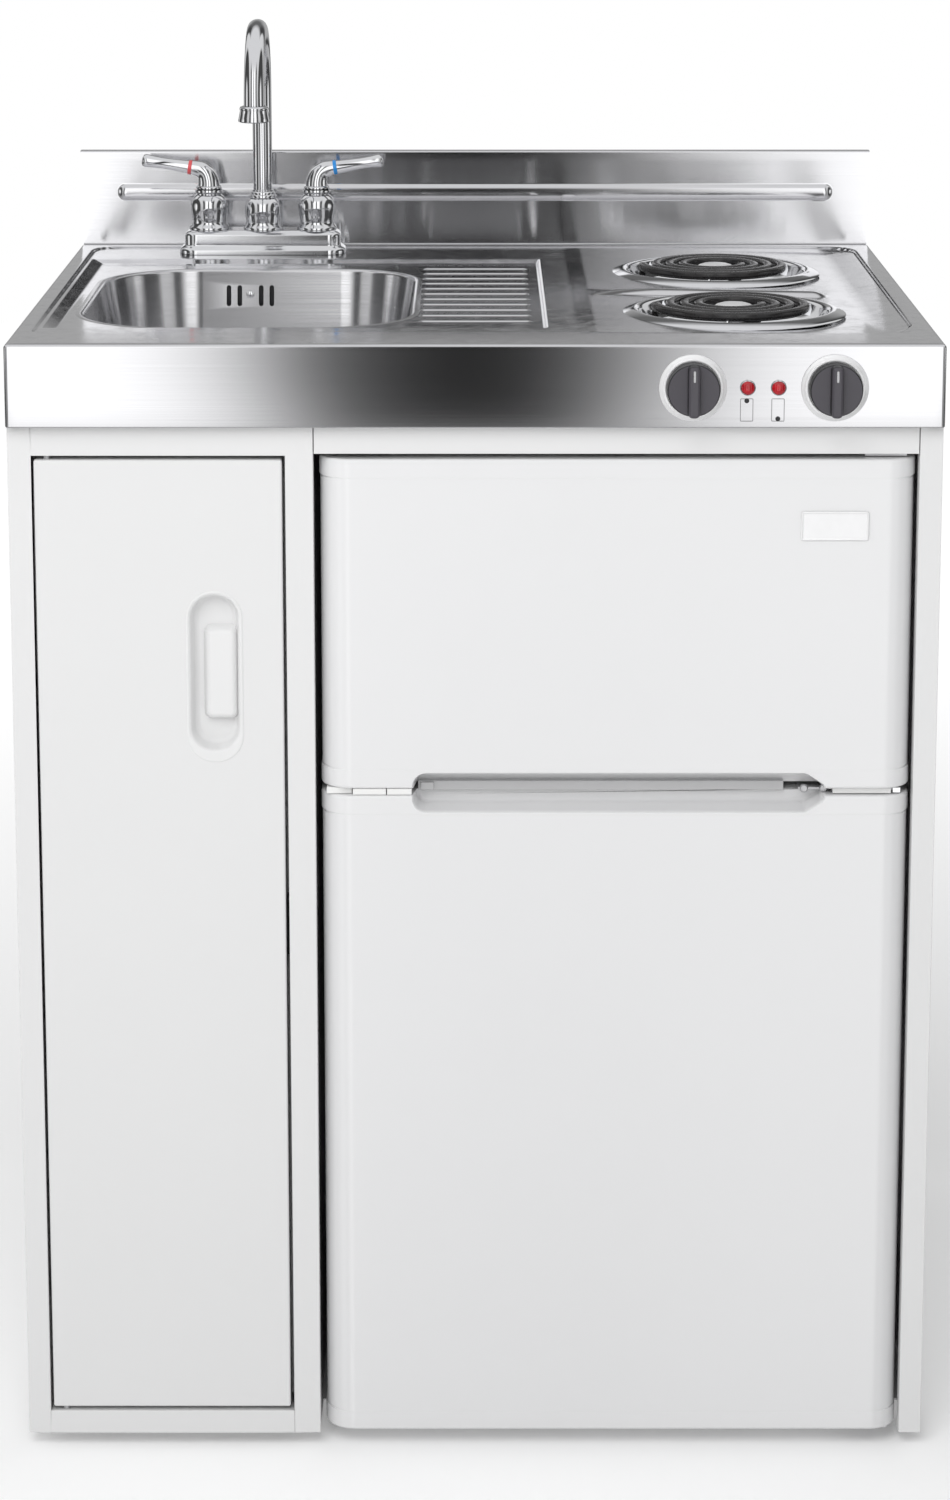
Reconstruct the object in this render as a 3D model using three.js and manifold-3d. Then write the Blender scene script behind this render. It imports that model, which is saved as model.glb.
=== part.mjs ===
// A kitchenette unit: a stainless worktop with a sink, a tap and two coil burners, on a white steel
// cabinet that holds a cupboard and a two-door fridge-freezer. Millimetres, +Z up, front towards -Y,
// +X to the viewer's right. The origin is on the floor under the middle of the unit's bounding box.
import * as THREE from 'three';
import { mergeVertices } from 'three/addons/utils/BufferGeometryUtils.js';
import Module from 'manifold-3d';

const wasm = await Module();
wasm.setup();

// ---------------------------------------------------------------- driving dimensions
const HALF_WIDTH = 378;
const DEPTH = 605; // apron face to the worktop's rear skirt
const KNOB_PROUD = 24; // knobs stand this far in front of the apron
const SPLASH_LIP = 12; // the backsplash's top lip reaches this far behind the worktop
const RIM_Z = 949; // the worktop's raised rim
const SKIRT = 68; // height of apron and skirts
const SHEET = 1.5; // sheet metal thickness
const GAP = 0.3; // between pieces that touch
const FOOT = 12; // levelling feet lift the cabinet by this much
const FACE = 10; // the cabinet's face stands this far behind the apron
const FRAME_DEPTH = 16; // depth of the face frame's members
const SPLASH_HEIGHT = 90;

const FRONT = -(KNOB_PROUD + DEPTH + SPLASH_LIP) / 2 + KNOB_PROUD; // the apron's face
const behind = (u) => FRONT + u; // Y at u millimetres behind the apron's face
const above = (h) => RIM_Z + h; // Z at h millimetres above the worktop's rim
const SKIRT_Z = RIM_Z - SKIRT;
const CABINET_TOP = SKIRT_Z - GAP;
const FRAME_BACK = behind(FACE + FRAME_DEPTH);
const REAR = behind(DEPTH);

const DOORWAY = { x0: -359.4, x1: -153, z0: 32, z1: 856.4 }; // cupboard opening in the face frame
const BAY = { x0: -131, x1: 359.5, z1: 858 }; // fridge bay, open at the bottom

const LEDGE_DROP = 1.5; // everything inside the rim lies this much lower
const SINK_DROP = 5;
const HOB_DROP = 4.5;
const INTERIOR = { x0: -364, x1: 362, u0: 67, u1: 588, slope: 3 };
const SINK_AREA = { x0: -364, x1: 62, u0: 92, u1: 518, slope: 16 };
const HOB_AREA = { x0: 88, x1: 362, u0: 58, u1: 536, slope: 12 };
const BOWL = { x0: -336, x1: -52.5, u0: 119, u1: 464, radius: 85, depth: 84, draft: 12, floorRadius: 60 };
const DRAIN = { x: -194, u: 292, radius: 43 };
const BURNER_X = 219.5;
const BURNER_U = { front: 182, rear: 424 };
const PAN_RADIUS = 95.3;
const WELL_RADIUS = 83.5; // the openings under the drip pans
const COIL = { outer: 65, inner: 23.5, turns: 4, tube: 4, top: 7.5 };
const TILT = { x: BURNER_X - 88, z: RIM_Z - 26 }; // where the elements hinge in their receptacles

const TAP = { x: -201, u: 560, spread: 51, baseHalf: 78.5, baseDepth: 48, baseTop: 24 };
const SPOUT = { tube: 9.5, bend: 62, bendZ: 152.5, aeratorBottom: 134 };

const CONTROL_Z = SKIRT_Z + 33;
const KNOB_X = { left: 174.8, right: 288.8 };
const LAMP_X = { left: 218.8, right: 243.6 };

const DOOR = { x0: -357, x1: -156, z0: 35.5, z1: 853, thick: 18 };
const PIVOT = { x: DOOR.x0 + 10, u: FACE + 6, radius: 3 };
const PULL = { x0: -233, x1: -191.5, z0: 610, z1: 742, depth: 14 };

const FRIDGE = { x0: -125, x1: 353.5, z0: 14, z1: 854, u0: 66, u1: 545 };
const NICHE = { u: 420, z: 200 }; // the compressor's step at the casing's lower rear
const LEAF = { x0: -127, x1: 358, u0: 8, thick: 48, corner: 26 }; // both fridge doors
const FREEZER_DOOR_Z = [578.5, 854];
const FRIDGE_DOOR_Z = [15.5, 572.5];
const LEAF_PIN = { x: LEAF.x1 - 24, u: LEAF.u0 + 24, radius: 3 };
const POCKET = { x0: -51, x1: 287, z0: 559, z1: 591, depth: 24, chamfer: 10 };
const FREEZER_ROOM = { x0: -88, x1: 316.5, z0: 594, z1: 815, u1: 505 };
const FRIDGE_ROOM = { x0: -88, x1: 316.5, z0: 60, z1: 548, u1: 505, stepU: 385, stepZ: 235 };

// ---------------------------------------------------------------- materials
const metal = (color, roughness) => new THREE.MeshStandardMaterial({ color, roughness, metalness: 1 });
const coat = (color, roughness) => new THREE.MeshStandardMaterial({ color, roughness, metalness: 0 });
const STEEL = metal(0xb9bbbe, 0.35);
const CHROME = metal(0xe4e6ea, 0.06);
const SATIN = metal(0xc4c6c9, 0.4);
const PAINT = coat(0xe9eaeb, 0.45);
const GLOSS_WHITE = coat(0xf4f5f6, 0.25);
const LINER_WHITE = coat(0xeceef0, 0.5);
const ELEMENT = coat(0x1d1e20, 0.55);
const BLACK = coat(0x26272a, 0.5);
const KNOB_GREY = coat(0x2b2d31, 0.5);
const RUBBER = coat(0xd8dadc, 0.8);
const RED = coat(0xc4161c, 0.15);
const CLEAR = coat(0xd6e4e2, 0.1);
const PIPE_WHITE = coat(0xf1f1ee, 0.5);

// ---------------------------------------------------------------- geometry helpers
const unit = new THREE.Group();

function solid(geometry) {
  const plain = geometry.index ? geometry.toNonIndexed() : geometry;
  const bare = new THREE.BufferGeometry();
  bare.setAttribute('position', plain.getAttribute('position'));
  const merged = mergeVertices(bare, 1e-4);
  const triVerts = new Uint32Array(merged.index.array);
  const vertProperties = merged.attributes.position.array;
  const made = new wasm.Manifold(new wasm.Mesh({ numProp: 3, vertProperties, triVerts }));
  if (made.volume() > 0) return made;
  for (let i = 0; i < triVerts.length; i += 3) {
    [triVerts[i + 1], triVerts[i + 2]] = [triVerts[i + 2], triVerts[i + 1]];
  }
  return new wasm.Manifold(new wasm.Mesh({ numProp: 3, vertProperties, triVerts }));
}

const join = (...solids) => solids.reduce((a, b) => a.add(b));
const cut = (body, ...tools) => tools.reduce((a, b) => a.subtract(b), body);

function piece(name, body, material) {
  const { vertProperties, triVerts } = body.getMesh();
  const geometry = new THREE.BufferGeometry();
  geometry.setAttribute('position', new THREE.BufferAttribute(new Float32Array(vertProperties), 3));
  geometry.setIndex(new THREE.BufferAttribute(new Uint32Array(triVerts), 1));
  geometry.computeVertexNormals();
  const mesh = new THREE.Mesh(geometry, material);
  mesh.name = name;
  unit.add(mesh);
}

function block(x0, x1, y0, y1, z0, z1) {
  const geometry = new THREE.BoxGeometry(x1 - x0, y1 - y0, z1 - z0);
  return solid(geometry.translate((x0 + x1) / 2, (y0 + y1) / 2, (z0 + z1) / 2));
}

function roundedRect(x0, x1, y0, y1, r) {
  const shape = new THREE.Shape();
  shape.moveTo(x0 + r, y0);
  shape.absarc(x1 - r, y0 + r, r, -Math.PI / 2, 0);
  shape.absarc(x1 - r, y1 - r, r, 0, Math.PI / 2);
  shape.absarc(x0 + r, y1 - r, r, Math.PI / 2, Math.PI);
  shape.absarc(x0 + r, y0 + r, r, Math.PI, 1.5 * Math.PI);
  return shape;
}

const polygon = (points) => new THREE.Shape(points.map(([x, y]) => new THREE.Vector2(x, y)));

// A plan outline (x, y) raised from z0 to z1. Arcs take twice as many segments as curveSegments says.
function plate(shape, z0, z1, curveSegments = 3) {
  const geometry = new THREE.ExtrudeGeometry(shape, { depth: z1 - z0, bevelEnabled: false, curveSegments });
  return solid(geometry.translate(0, 0, z0));
}

// A front outline (x, z) from y0 back to y1.
function panel(shape, y0, y1, curveSegments = 3) {
  const geometry = new THREE.ExtrudeGeometry(shape, { depth: y1 - y0, bevelEnabled: false, curveSegments });
  return solid(geometry.rotateX(Math.PI / 2).translate(0, y1, 0));
}

// A side outline (y, z) from x0 across to x1.
function section(shape, x0, x1) {
  const geometry = new THREE.ExtrudeGeometry(shape, { depth: x1 - x0, bevelEnabled: false });
  const sideways = new THREE.Matrix4().makeBasis(
    new THREE.Vector3(0, 1, 0), new THREE.Vector3(0, 0, 1), new THREE.Vector3(1, 0, 0));
  return solid(geometry.applyMatrix4(sideways).translate(x0, 0, 0));
}

const lathe = (profile, sides) =>
  new THREE.LatheGeometry(profile.map(([r, h]) => new THREE.Vector2(r, h)), sides);

// Profiles of [radius, height]: upright at (x, y), or facing the front at (x, z).
const turned = (profile, x, y, sides = 20) =>
  solid(lathe(profile, sides).rotateX(Math.PI / 2).translate(x, y, 0));
const faced = (profile, x, z, y = FRONT, sides = 20) =>
  solid(lathe(profile, sides).rotateX(Math.PI).translate(x, y, z));
const rod = (x, y, r, z0, z1, sides = 12) => turned([[0, z0], [r, z0], [r, z1], [0, z1]], x, y, sides);

function tube(points, radius, sides, steps) {
  const circle = new THREE.Shape().absarc(0, 0, radius, 0, 2 * Math.PI);
  const stops = points.map((p) => new THREE.Vector3(...p));
  const extrudePath = new THREE.CatmullRomCurve3(stops, false, 'centripetal');
  return solid(new THREE.ExtrudeGeometry(circle, { steps, curveSegments: sides / 2, extrudePath }));
}

// Rings of equal point counts, counter-clockwise from above, from the lowest to the highest.
function loft(rings) {
  const n = rings[0].length;
  const last = (rings.length - 1) * n;
  const index = [];
  for (let base = 0; base < last; base += n) {
    for (let i = 0; i < n; i++) {
      const a = base + i;
      const b = base + ((i + 1) % n);
      index.push(a, b, b + n, a, b + n, a + n);
    }
  }
  for (let i = 1; i < n - 1; i++) index.push(0, i + 1, i, last, last + i, last + i + 1);
  const geometry = new THREE.BufferGeometry();
  geometry.setAttribute('position', new THREE.Float32BufferAttribute(rings.flat(2), 3));
  geometry.setIndex(index);
  return solid(geometry);
}

const rectRing = (x0, x1, y0, y1, z) => [[x0, y0, z], [x1, y0, z], [x1, y1, z], [x0, y1, z]];
const roundRing = (x0, x1, y0, y1, r, z) => roundedRect(x0, x1, y0, y1, r).extractPoints(2).shape
  .map((p) => [p.x, p.y, z]);

// ---------------------------------------------------------------- cabinet
function uprightSheet(name, x0, z0, z1) {
  piece(name, block(x0, x0 + SHEET, FRAME_BACK + GAP, REAR, z0, z1), PAINT);
}

function faceFrame() {
  const outline = polygon([
    [-HALF_WIDTH, FOOT], [BAY.x0, FOOT], [BAY.x0, BAY.z1], [BAY.x1, BAY.z1], [BAY.x1, FOOT],
    [HALF_WIDTH, FOOT], [HALF_WIDTH, CABINET_TOP], [-HALF_WIDTH, CABINET_TOP]]);
  const frame = cut(
    panel(outline, behind(FACE), FRAME_BACK),
    block(DOORWAY.x0, DOORWAY.x1, behind(0), behind(60), DOORWAY.z0, DOORWAY.z1),
    rod(PIVOT.x, behind(PIVOT.u), PIVOT.radius + 0.6, 24, 36),
    rod(PIVOT.x, behind(PIVOT.u), PIVOT.radius + 0.6, 850, 865));
  piece('face_frame', frame, PAINT);
}

function cabinet() {
  const inner = HALF_WIDTH - SHEET;
  const dividerX = BAY.x0 - 3;
  const baseTop = FOOT + SHEET;
  const underBowl = above(-SINK_DROP - BOWL.depth - 4);
  uprightSheet('left_side_panel', -HALF_WIDTH, FOOT, CABINET_TOP);
  uprightSheet('right_side_panel', inner, FOOT, CABINET_TOP);
  uprightSheet('bay_divider', dividerX, baseTop + GAP, underBowl);
  faceFrame();

  const bayFloorU = FRIDGE.u0 + 6;
  const base = polygon([
    [-inner + GAP, FRAME_BACK + GAP], [BAY.x0, FRAME_BACK + GAP], [BAY.x0, behind(bayFloorU)],
    [inner - GAP, behind(bayFloorU)], [inner - GAP, REAR], [-inner + GAP, REAR]]);
  piece('base_pan', plate(base, FOOT, baseTop), PAINT);

  const back = panel(polygon([
    [-inner + GAP, baseTop + GAP], [dividerX - GAP, baseTop + GAP], [dividerX - GAP, CABINET_TOP],
    [-inner + GAP, CABINET_TOP]]), REAR - SHEET, REAR);
  const service = panel(roundedRect(-340, -170, 520, 700, 20), REAR - 5, REAR + 5, 2);
  piece('back_panel', cut(back, service), PAINT);

  const footProfile = [[0, 0], [18, 0], [18, 3], [14, 7], [5, 7], [5, FOOT - GAP], [0, FOOT - GAP]];
  for (const [side, x] of [['left', -345], ['right', 345]]) {
    for (const [end, u] of [['front', 100], ['rear', 570]]) {
      piece(`${side}_${end}_foot`, turned(footProfile, x, behind(u), 12), BLACK);
    }
  }

  const catchBody = block(-170, DOORWAY.x1 + 12, FRAME_BACK + 2.5, FRAME_BACK + 18, 430, 480);
  const catchPlate = block(DOORWAY.x1 + 1, dividerX - GAP, FRAME_BACK + GAP, FRAME_BACK + 3, 430, 480);
  piece('door_catch', join(catchBody, catchPlate), BLACK);
}

// ---------------------------------------------------------------- cupboard door
function cupboardDoor() {
  const back = behind(FACE + DOOR.thick);
  const y = behind(PIVOT.u);
  const radius = (PULL.x1 - PULL.x0) / 2;
  const stadium = (grow) => roundedRect(
    PULL.x0 - grow, PULL.x1 + grow, PULL.z0 - grow, PULL.z1 + grow, radius + grow - 0.01);
  const skin = block(DOOR.x0, DOOR.x1, behind(FACE), back, DOOR.z0, DOOR.z1);
  const hollow = block(
    DOOR.x0 + SHEET, DOOR.x1 - SHEET, behind(FACE) + SHEET, back + 1, DOOR.z0 + SHEET, DOOR.z1 - SHEET);
  const pinHole = rod(PIVOT.x, y, PIVOT.radius + GAP, DOOR.z0 - 1, DOOR.z1 + 1);
  const mouth = panel(stadium(GAP), behind(0), behind(60), 4);
  piece('cabinet_door', cut(skin, hollow, pinHole, mouth), PAINT);

  const cup = panel(stadium(0), behind(FACE), behind(FACE + PULL.depth + SHEET), 4);
  const recess = panel(stadium(-SHEET), behind(FACE - 1), behind(FACE + PULL.depth), 4);
  const flange = cut(
    panel(stadium(5), behind(FACE + SHEET) + GAP, behind(FACE + SHEET) + 2, 4),
    panel(stadium(-0.2), behind(0), behind(40), 4));
  const hood = block(
    PULL.x0 + 2, PULL.x1 - 2, behind(FACE + 9), behind(FACE + PULL.depth + 1), PULL.z0 + 66, PULL.z1 - 4);
  piece('finger_pull', join(cut(cup, recess), flange, hood.intersect(cup)), GLOSS_WHITE);

  const pin = (z0, z1, shoulder0, shoulder1) => join(
    rod(PIVOT.x, y, PIVOT.radius, z0, z1),
    rod(PIVOT.x, y, PIVOT.radius + 1, shoulder0, shoulder1));
  const collar = 10;
  piece('upper_pivot', pin(DOOR.z1 - 14, DOOR.z1 + 8, DOOR.z1 - 14, DOOR.z1 - 14 + collar), SATIN);
  piece('lower_pivot', pin(DOOR.z0 - 8, DOOR.z0 + 14, DOOR.z0 + 14 - collar, DOOR.z0 + 14), SATIN);
}

// ---------------------------------------------------------------- worktop, backsplash and sink
function sunken({ x0, x1, u0, u1, slope }, drop, grow = 0) {
  const [y0, y1] = [behind(u0), behind(u1)];
  return loft([
    rectRing(x0 + slope - grow, x1 - slope + grow, y0 + slope - grow, y1 - slope + grow, above(-drop - grow)),
    rectRing(x0 - grow, x1 + grow, y0 - grow, y1 + grow, above(-grow)),
    rectRing(x0 - grow, x1 + grow, y0 - grow, y1 + grow, above(20))]);
}

function worktop() {
  const outside = block(-HALF_WIDTH, HALF_WIDTH, FRONT, REAR, SKIRT_Z, RIM_Z);
  const rooms = [[INTERIOR, LEDGE_DROP], [SINK_AREA, SINK_DROP], [HOB_AREA, HOB_DROP]];
  const underside = cut(
    block(-HALF_WIDTH + SHEET, HALF_WIDTH - SHEET, FRONT + SHEET, REAR - SHEET, SKIRT_Z - 1, RIM_Z - SHEET),
    ...rooms.map(([room, drop]) => sunken(room, drop, SHEET)));
  const wells = Object.values(BURNER_U).map((u) => rod(BURNER_X, behind(u), WELL_RADIUS, 900, 970, 24));
  const bowlOutline = roundedRect(
    BOWL.x0 - GAP, BOWL.x1 + GAP, behind(BOWL.u0) - GAP, behind(BOWL.u1) + GAP, BOWL.radius + GAP);
  const bowlHole = plate(bowlOutline, 900, 970, 2);
  const shankHoles = [-1, 1].map((side) => rod(TAP.x + side * TAP.spread, behind(TAP.u), 12, 900, 970));
  const frontHoles = [...Object.values(KNOB_X), ...Object.values(LAMP_X)].map((x) =>
    faced([[0, -10], [6, -10], [6, 10], [0, 10]], x, CONTROL_Z, FRONT, 12));
  const shell = cut(outside, ...rooms.map(([room, drop]) => sunken(room, drop)));
  const pressed = cut(cut(shell, underside), ...wells);
  piece('worktop', cut(pressed, bowlHole, ...shankHoles, ...frontHoles), STEEL);
}

function backsplash() {
  const face = REAR - SHEET;
  const foot = RIM_Z + GAP;
  const top = above(SPLASH_HEIGHT);
  const bent = polygon([
    [face, foot], [REAR, foot], [REAR, top - SHEET],
    [REAR + SPLASH_LIP - SHEET, top - SHEET], [REAR + SPLASH_LIP - SHEET, top - 8],
    [REAR + SPLASH_LIP, top - 8], [REAR + SPLASH_LIP, top], [face, top]]);
  const bead = panel(roundedRect(-342, 342, above(41), above(58), 8.4), face - 4, face + 0.5, 2);
  piece('backsplash', join(section(bent, -HALF_WIDTH, HALF_WIDTH), bead), STEEL);
}

function bowlShell(grow) {
  const { x0, x1, u0, u1, radius, depth, draft, floorRadius } = BOWL;
  const top = above(-SINK_DROP);
  const ring = (inset, r, z) => roundRing(
    x0 + inset - grow, x1 - inset + grow, behind(u0 + inset) - grow, behind(u1 - inset) + grow, r + grow, z);
  return loft([
    ring(draft + 28, floorRadius, top - depth - grow),
    ring(draft + 8, floorRadius + 15, top - depth + 7 - grow),
    ring(draft, radius - 6, top - depth + 28),
    ring(SHEET, radius - SHEET, top + (grow > 0 ? 0 : 2))]);
}

function sink() {
  const y = behind(DRAIN.u);
  const floor = above(-SINK_DROP - BOWL.depth);
  const slots = [-227.4, -217.4, -197.6, -187.8].map((x) =>
    block(x - 2.2, x + 2.2, behind(BOWL.u1 - 30), behind(BOWL.u1 + 6), above(-38), above(-19)));
  const drainHole = rod(DRAIN.x, y, DRAIN.radius + 1, floor - 20, floor + 20, 20);
  piece('sink_bowl', cut(bowlShell(SHEET), bowlShell(0), drainHole, ...slots), STEEL);

  const flangeTop = floor + 3;
  const drainBottom = floor - 50;
  const cupProfile = [
    [17, drainBottom - 30], [20, drainBottom - 30], [20, drainBottom], [40, drainBottom + 3], [42, floor - 4],
    [42, floor + GAP], [54, floor + GAP], [53, flangeTop - 1], [48, flangeTop], [40, floor - 2],
    [38, drainBottom + 6], [17, drainBottom + 4]];
  const cup = turned([...cupProfile, cupProfile[0]], DRAIN.x, y, 20);
  const grid = block(DRAIN.x - 40.5, DRAIN.x + 40.5, y - 2, y + 2, floor - 8, floor - 5);
  const crossGrid = block(DRAIN.x - 2, DRAIN.x + 2, y - 40.5, y + 40.5, floor - 8, floor - 5);
  piece('sink_drain', join(cup, grid, crossGrid), STEEL);

  const trapTop = drainBottom - 30 - GAP;
  const outletZ = 646;
  const trap = tube([
    [DRAIN.x, y, trapTop], [DRAIN.x, y, trapTop - 60], [DRAIN.x, y, outletZ - 36],
    [DRAIN.x, y + 12, outletZ - 66], [DRAIN.x, y + 42, outletZ - 80], [DRAIN.x, y + 72, outletZ - 66],
    [DRAIN.x, y + 84, outletZ - 36], [DRAIN.x, y + 98, outletZ - 10], [DRAIN.x, y + 128, outletZ],
    [DRAIN.x, y + 220, outletZ], [DRAIN.x, REAR + 4, outletZ]], 19, 10, 28);
  piece('waste_trap', trap, PIPE_WHITE);

  const hoseZ = floor - 28;
  const housing = block(
    -237, -178, behind(BOWL.u1 + SHEET + 3), behind(BOWL.u1 + 20), above(-54), above(-16));
  const hose = tube([
    [-207, behind(BOWL.u1 + 13), above(-50)], [-207, behind(BOWL.u1 + 13), floor + 14],
    [-205, behind(BOWL.u1 - 4), floor - 20], [-199, behind(BOWL.u1 - 50), floor - 27],
    [DRAIN.x, y + 60, hoseZ], [DRAIN.x, y + DRAIN.radius, hoseZ]], 9, 8, 16);
  piece('overflow_housing', join(housing, hose), PIPE_WHITE);
}

// ---------------------------------------------------------------- tap
function tap() {
  const y = behind(TAP.u);
  const deck = above(-LEDGE_DROP) + GAP;
  const bar = (inset, z0, z1) => plate(
    roundedRect(TAP.x - TAP.baseHalf + inset, TAP.x + TAP.baseHalf - inset,
      y - TAP.baseDepth / 2 + inset, y + TAP.baseDepth / 2 - inset, 17 - inset / 2), z0, z1, 2);
  const bell = [
    [0, above(20)], [18.5, above(20)], [18.5, above(28)], [16.5, above(30)], [17.5, above(38)],
    [15.5, above(47)], [12, above(52)], [0, above(52)]];
  const collar = [
    [0, above(20)], [17, above(20)], [17, above(34)], [15.5, above(44)], [12.5, above(50)], [0, above(50)]];
  const sides = [-1, 1].map((side) => TAP.x + side * TAP.spread);
  const shanks = sides.map((x) => rod(x, y, 10.5, 895, above(10), 12));
  const nuts = sides.map((x) => rod(x, y, 19, 928, 939.5, 6));
  piece('tap_base', join(
    bar(0, deck, above(4)), bar(5, above(3), above(TAP.baseTop)), turned(collar, TAP.x, y, 16),
    ...sides.map((x) => turned(bell, x, y, 16)), ...shanks, ...nuts), CHROME);

  const arc = [];
  for (let i = 0; i <= 12; i++) {
    const a = (i / 12) * Math.PI;
    const reach = SPOUT.bend - SPOUT.bend * Math.cos(a);
    arc.push([TAP.x, y - reach, above(SPOUT.bendZ) + SPOUT.bend * Math.sin(a)]);
  }
  const aeratorY = y - 2 * SPOUT.bend;
  const aeratorTop = above(SPOUT.aeratorBottom + 15);
  const goose = tube([
    [TAP.x, y, above(50) + GAP], [TAP.x, y, above(84)], [TAP.x, y, above(118)], ...arc,
    [TAP.x, aeratorY, aeratorTop + GAP]], SPOUT.tube, 12, 30);
  piece('spout', goose, CHROME);
  const nozzle = [
    [9, above(SPOUT.aeratorBottom)], [14, above(SPOUT.aeratorBottom)], [14, above(SPOUT.aeratorBottom + 5)],
    [12, aeratorTop - 3], [12, aeratorTop], [0, aeratorTop], [0, aeratorTop - 2], [9, aeratorTop - 2]];
  piece('aerator', turned([...nozzle, nozzle[0]], TAP.x, aeratorY, 20), CHROME);

  const lever = (side) => {
    const x = TAP.x + side * TAP.spread;
    const hub = [
      [0, above(52) + GAP], [10.7, above(52) + GAP], [10.7, above(57)], [12.5, above(62)], [12, above(70)],
      [8, above(77)], [0, above(79)]];
    const arm = tube([
      [x, y, above(68)], [x + side * 9, y, above(76)], [x + side * 20, y, above(78)],
      [x + side * 57, y, above(84)]], 5, 8, 10);
    const tip = new THREE.SphereGeometry(6.5, 8, 6).translate(x + side * 58, y, above(84.5));
    return join(turned(hub, x, y, 14), arm, solid(tip));
  };
  piece('hot_lever', lever(-1), CHROME);
  piece('cold_lever', lever(1), CHROME);
}

// ---------------------------------------------------------------- hob
function dripPan(end) {
  const y = behind(BURNER_U[end]);
  const rim = above(1.7 - HOB_DROP);
  const profile = [
    [20, rim - 30], [56, rim - 30], [74, rim - 14], [81, rim - 3], [81.5, rim], [PAN_RADIUS - 1.6, rim],
    [PAN_RADIUS - 1.2, rim - 1.4], [PAN_RADIUS, rim - 1.4], [PAN_RADIUS, rim + 0.4],
    [PAN_RADIUS - 1.6, rim + 1.6], [82.5, rim + 1.3], [80, rim - 2.5], [72.8, rim - 13.5],
    [55.5, rim - 28.6], [20, rim - 28.6]];
  const dish = turned([...profile, profile[0]], BURNER_X, y, 24);
  const terminalWindow = block(BURNER_X - 90, BURNER_X - 40, y - 14, y + 14, rim - 31, rim - 1.5);
  piece(`${end}_drip_pan`, cut(dish, terminalWindow), CHROME);
}

function coilElement(end) {
  const y = behind(BURNER_U[end]);
  const { outer, inner, turns, tube: r } = COIL;
  const z = above(COIL.top) - r;
  const tailZ = TILT.z;
  const steps = 12 * turns;
  const spiral = [];
  for (let i = 0; i <= steps; i++) {
    const angle = Math.PI + (i / 12) * 2 * Math.PI;
    const radius = outer - ((outer - inner) * i) / steps;
    spiral.push([BURNER_X + radius * Math.cos(angle), y + radius * Math.sin(angle), z]);
  }
  const outerTail = [
    [BURNER_X - 92, y + 7, tailZ], [BURNER_X - 76, y + 7, tailZ], [BURNER_X - 68, y + 7, tailZ + 8],
    [BURNER_X - 65, y + 5, z - 10]];
  const innerTail = [
    [BURNER_X - 22, y - 3, z - 12], [BURNER_X - 30, y - 6, z - 22], [BURNER_X - 44, y - 7, tailZ + 3],
    [BURNER_X - 58, y - 7, tailZ], [BURNER_X - 92, y - 7, tailZ]];
  const windings = tube([...outerTail, ...spiral, ...innerTail], r, 6, 68);
  const arms = [0, 120, 240].map((degrees) => {
    const fin = new THREE.BoxGeometry(66, 2, 9.5).translate(38, 0, z - 6.5);
    return solid(fin.rotateZ(THREE.MathUtils.degToRad(degrees)).translate(BURNER_X, y, 0));
  });
  const hub = turned([[0, z - 11], [16, z - 11], [16, z - 4.5], [0, z - 4.5]], BURNER_X, y, 12);
  piece(`${end}_coil`, join(windings, hub, ...arms), ELEMENT);
}

function receptacle(end) {
  const y = behind(BURNER_U[end]);
  const x1 = TILT.x - 0.5;
  const body = block(x1 - 30, x1, y - 16, y + 16, TILT.z - 12, TILT.z + 6.5);
  const slots = [-7, 7].map((dy) => block(x1 - 12, x1 + 1, y + dy - 5, y + dy + 5, TILT.z - 9, TILT.z + 5));
  piece(`${end}_receptacle`, cut(body, ...slots), BLACK);
}

function controls() {
  for (const [side, x] of Object.entries(KNOB_X)) {
    const bezel = [
      [5.4, GAP], [26, GAP], [27, 1.5], [26, 4], [24, 4.4], [22, 3], [5.4, 2.6]];
    piece(`${side}_bezel`, faced([...bezel, bezel[0]], x, CONTROL_Z, FRONT, 20), SATIN);
    const knob = faced([
      [0, -12], [3, -12], [3, 4], [19, 4], [21.1, 5.5], [20.5, 15], [19, 16.5], [0, 16.5]],
    x, CONTROL_Z, FRONT, 20);
    const grip = block(x - 5, x + 5, FRONT - KNOB_PROUD, FRONT - 15, CONTROL_Z - 20.6, CONTROL_Z + 18.6);
    piece(`${side}_knob`, join(knob, grip), KNOB_GREY);
    const body = block(x - 21, x + 21, FRONT + SHEET + GAP, FRONT + 44, CONTROL_Z - 20, CONTROL_Z + 20);
    const bore = faced([[0, -14], [3.8, -14], [3.8, 10], [0, 10]], x, CONTROL_Z, FRONT, 12);
    piece(`${side}_switch`, cut(body, bore), BLACK);
  }
  for (const [side, x] of Object.entries(LAMP_X)) {
    const lamp = [[0, -22], [5, -22], [5, GAP], [6.2, GAP], [6.2, 1.2], [5, 3], [2.5, 4.2], [0, 4.6]];
    piece(`${side}_lamp`, faced(lamp, x, CONTROL_Z, FRONT, 16), RED);
  }
}

// ---------------------------------------------------------------- fridge-freezer
function sideOutline(u0, u1, z0, z1, stepU, stepZ) {
  return polygon([
    [behind(u0), z0], [behind(stepU), z0], [behind(stepU), stepZ], [behind(u1), stepZ], [behind(u1), z1],
    [behind(u0), z1]]);
}

function room({ x0, x1, z0, z1, u1, stepU, stepZ }, grow) {
  const outline = stepU
    ? sideOutline(FRIDGE.u0 - 2, u1 + grow, z0 - grow, z1 + grow, stepU + grow, stepZ - grow)
    : polygon([
      [behind(FRIDGE.u0 - 2), z0 - grow], [behind(u1 + grow), z0 - grow], [behind(u1 + grow), z1 + grow],
      [behind(FRIDGE.u0 - 2), z1 + grow]]);
  return section(outline, x0 - grow, x1 + grow);
}

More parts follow.
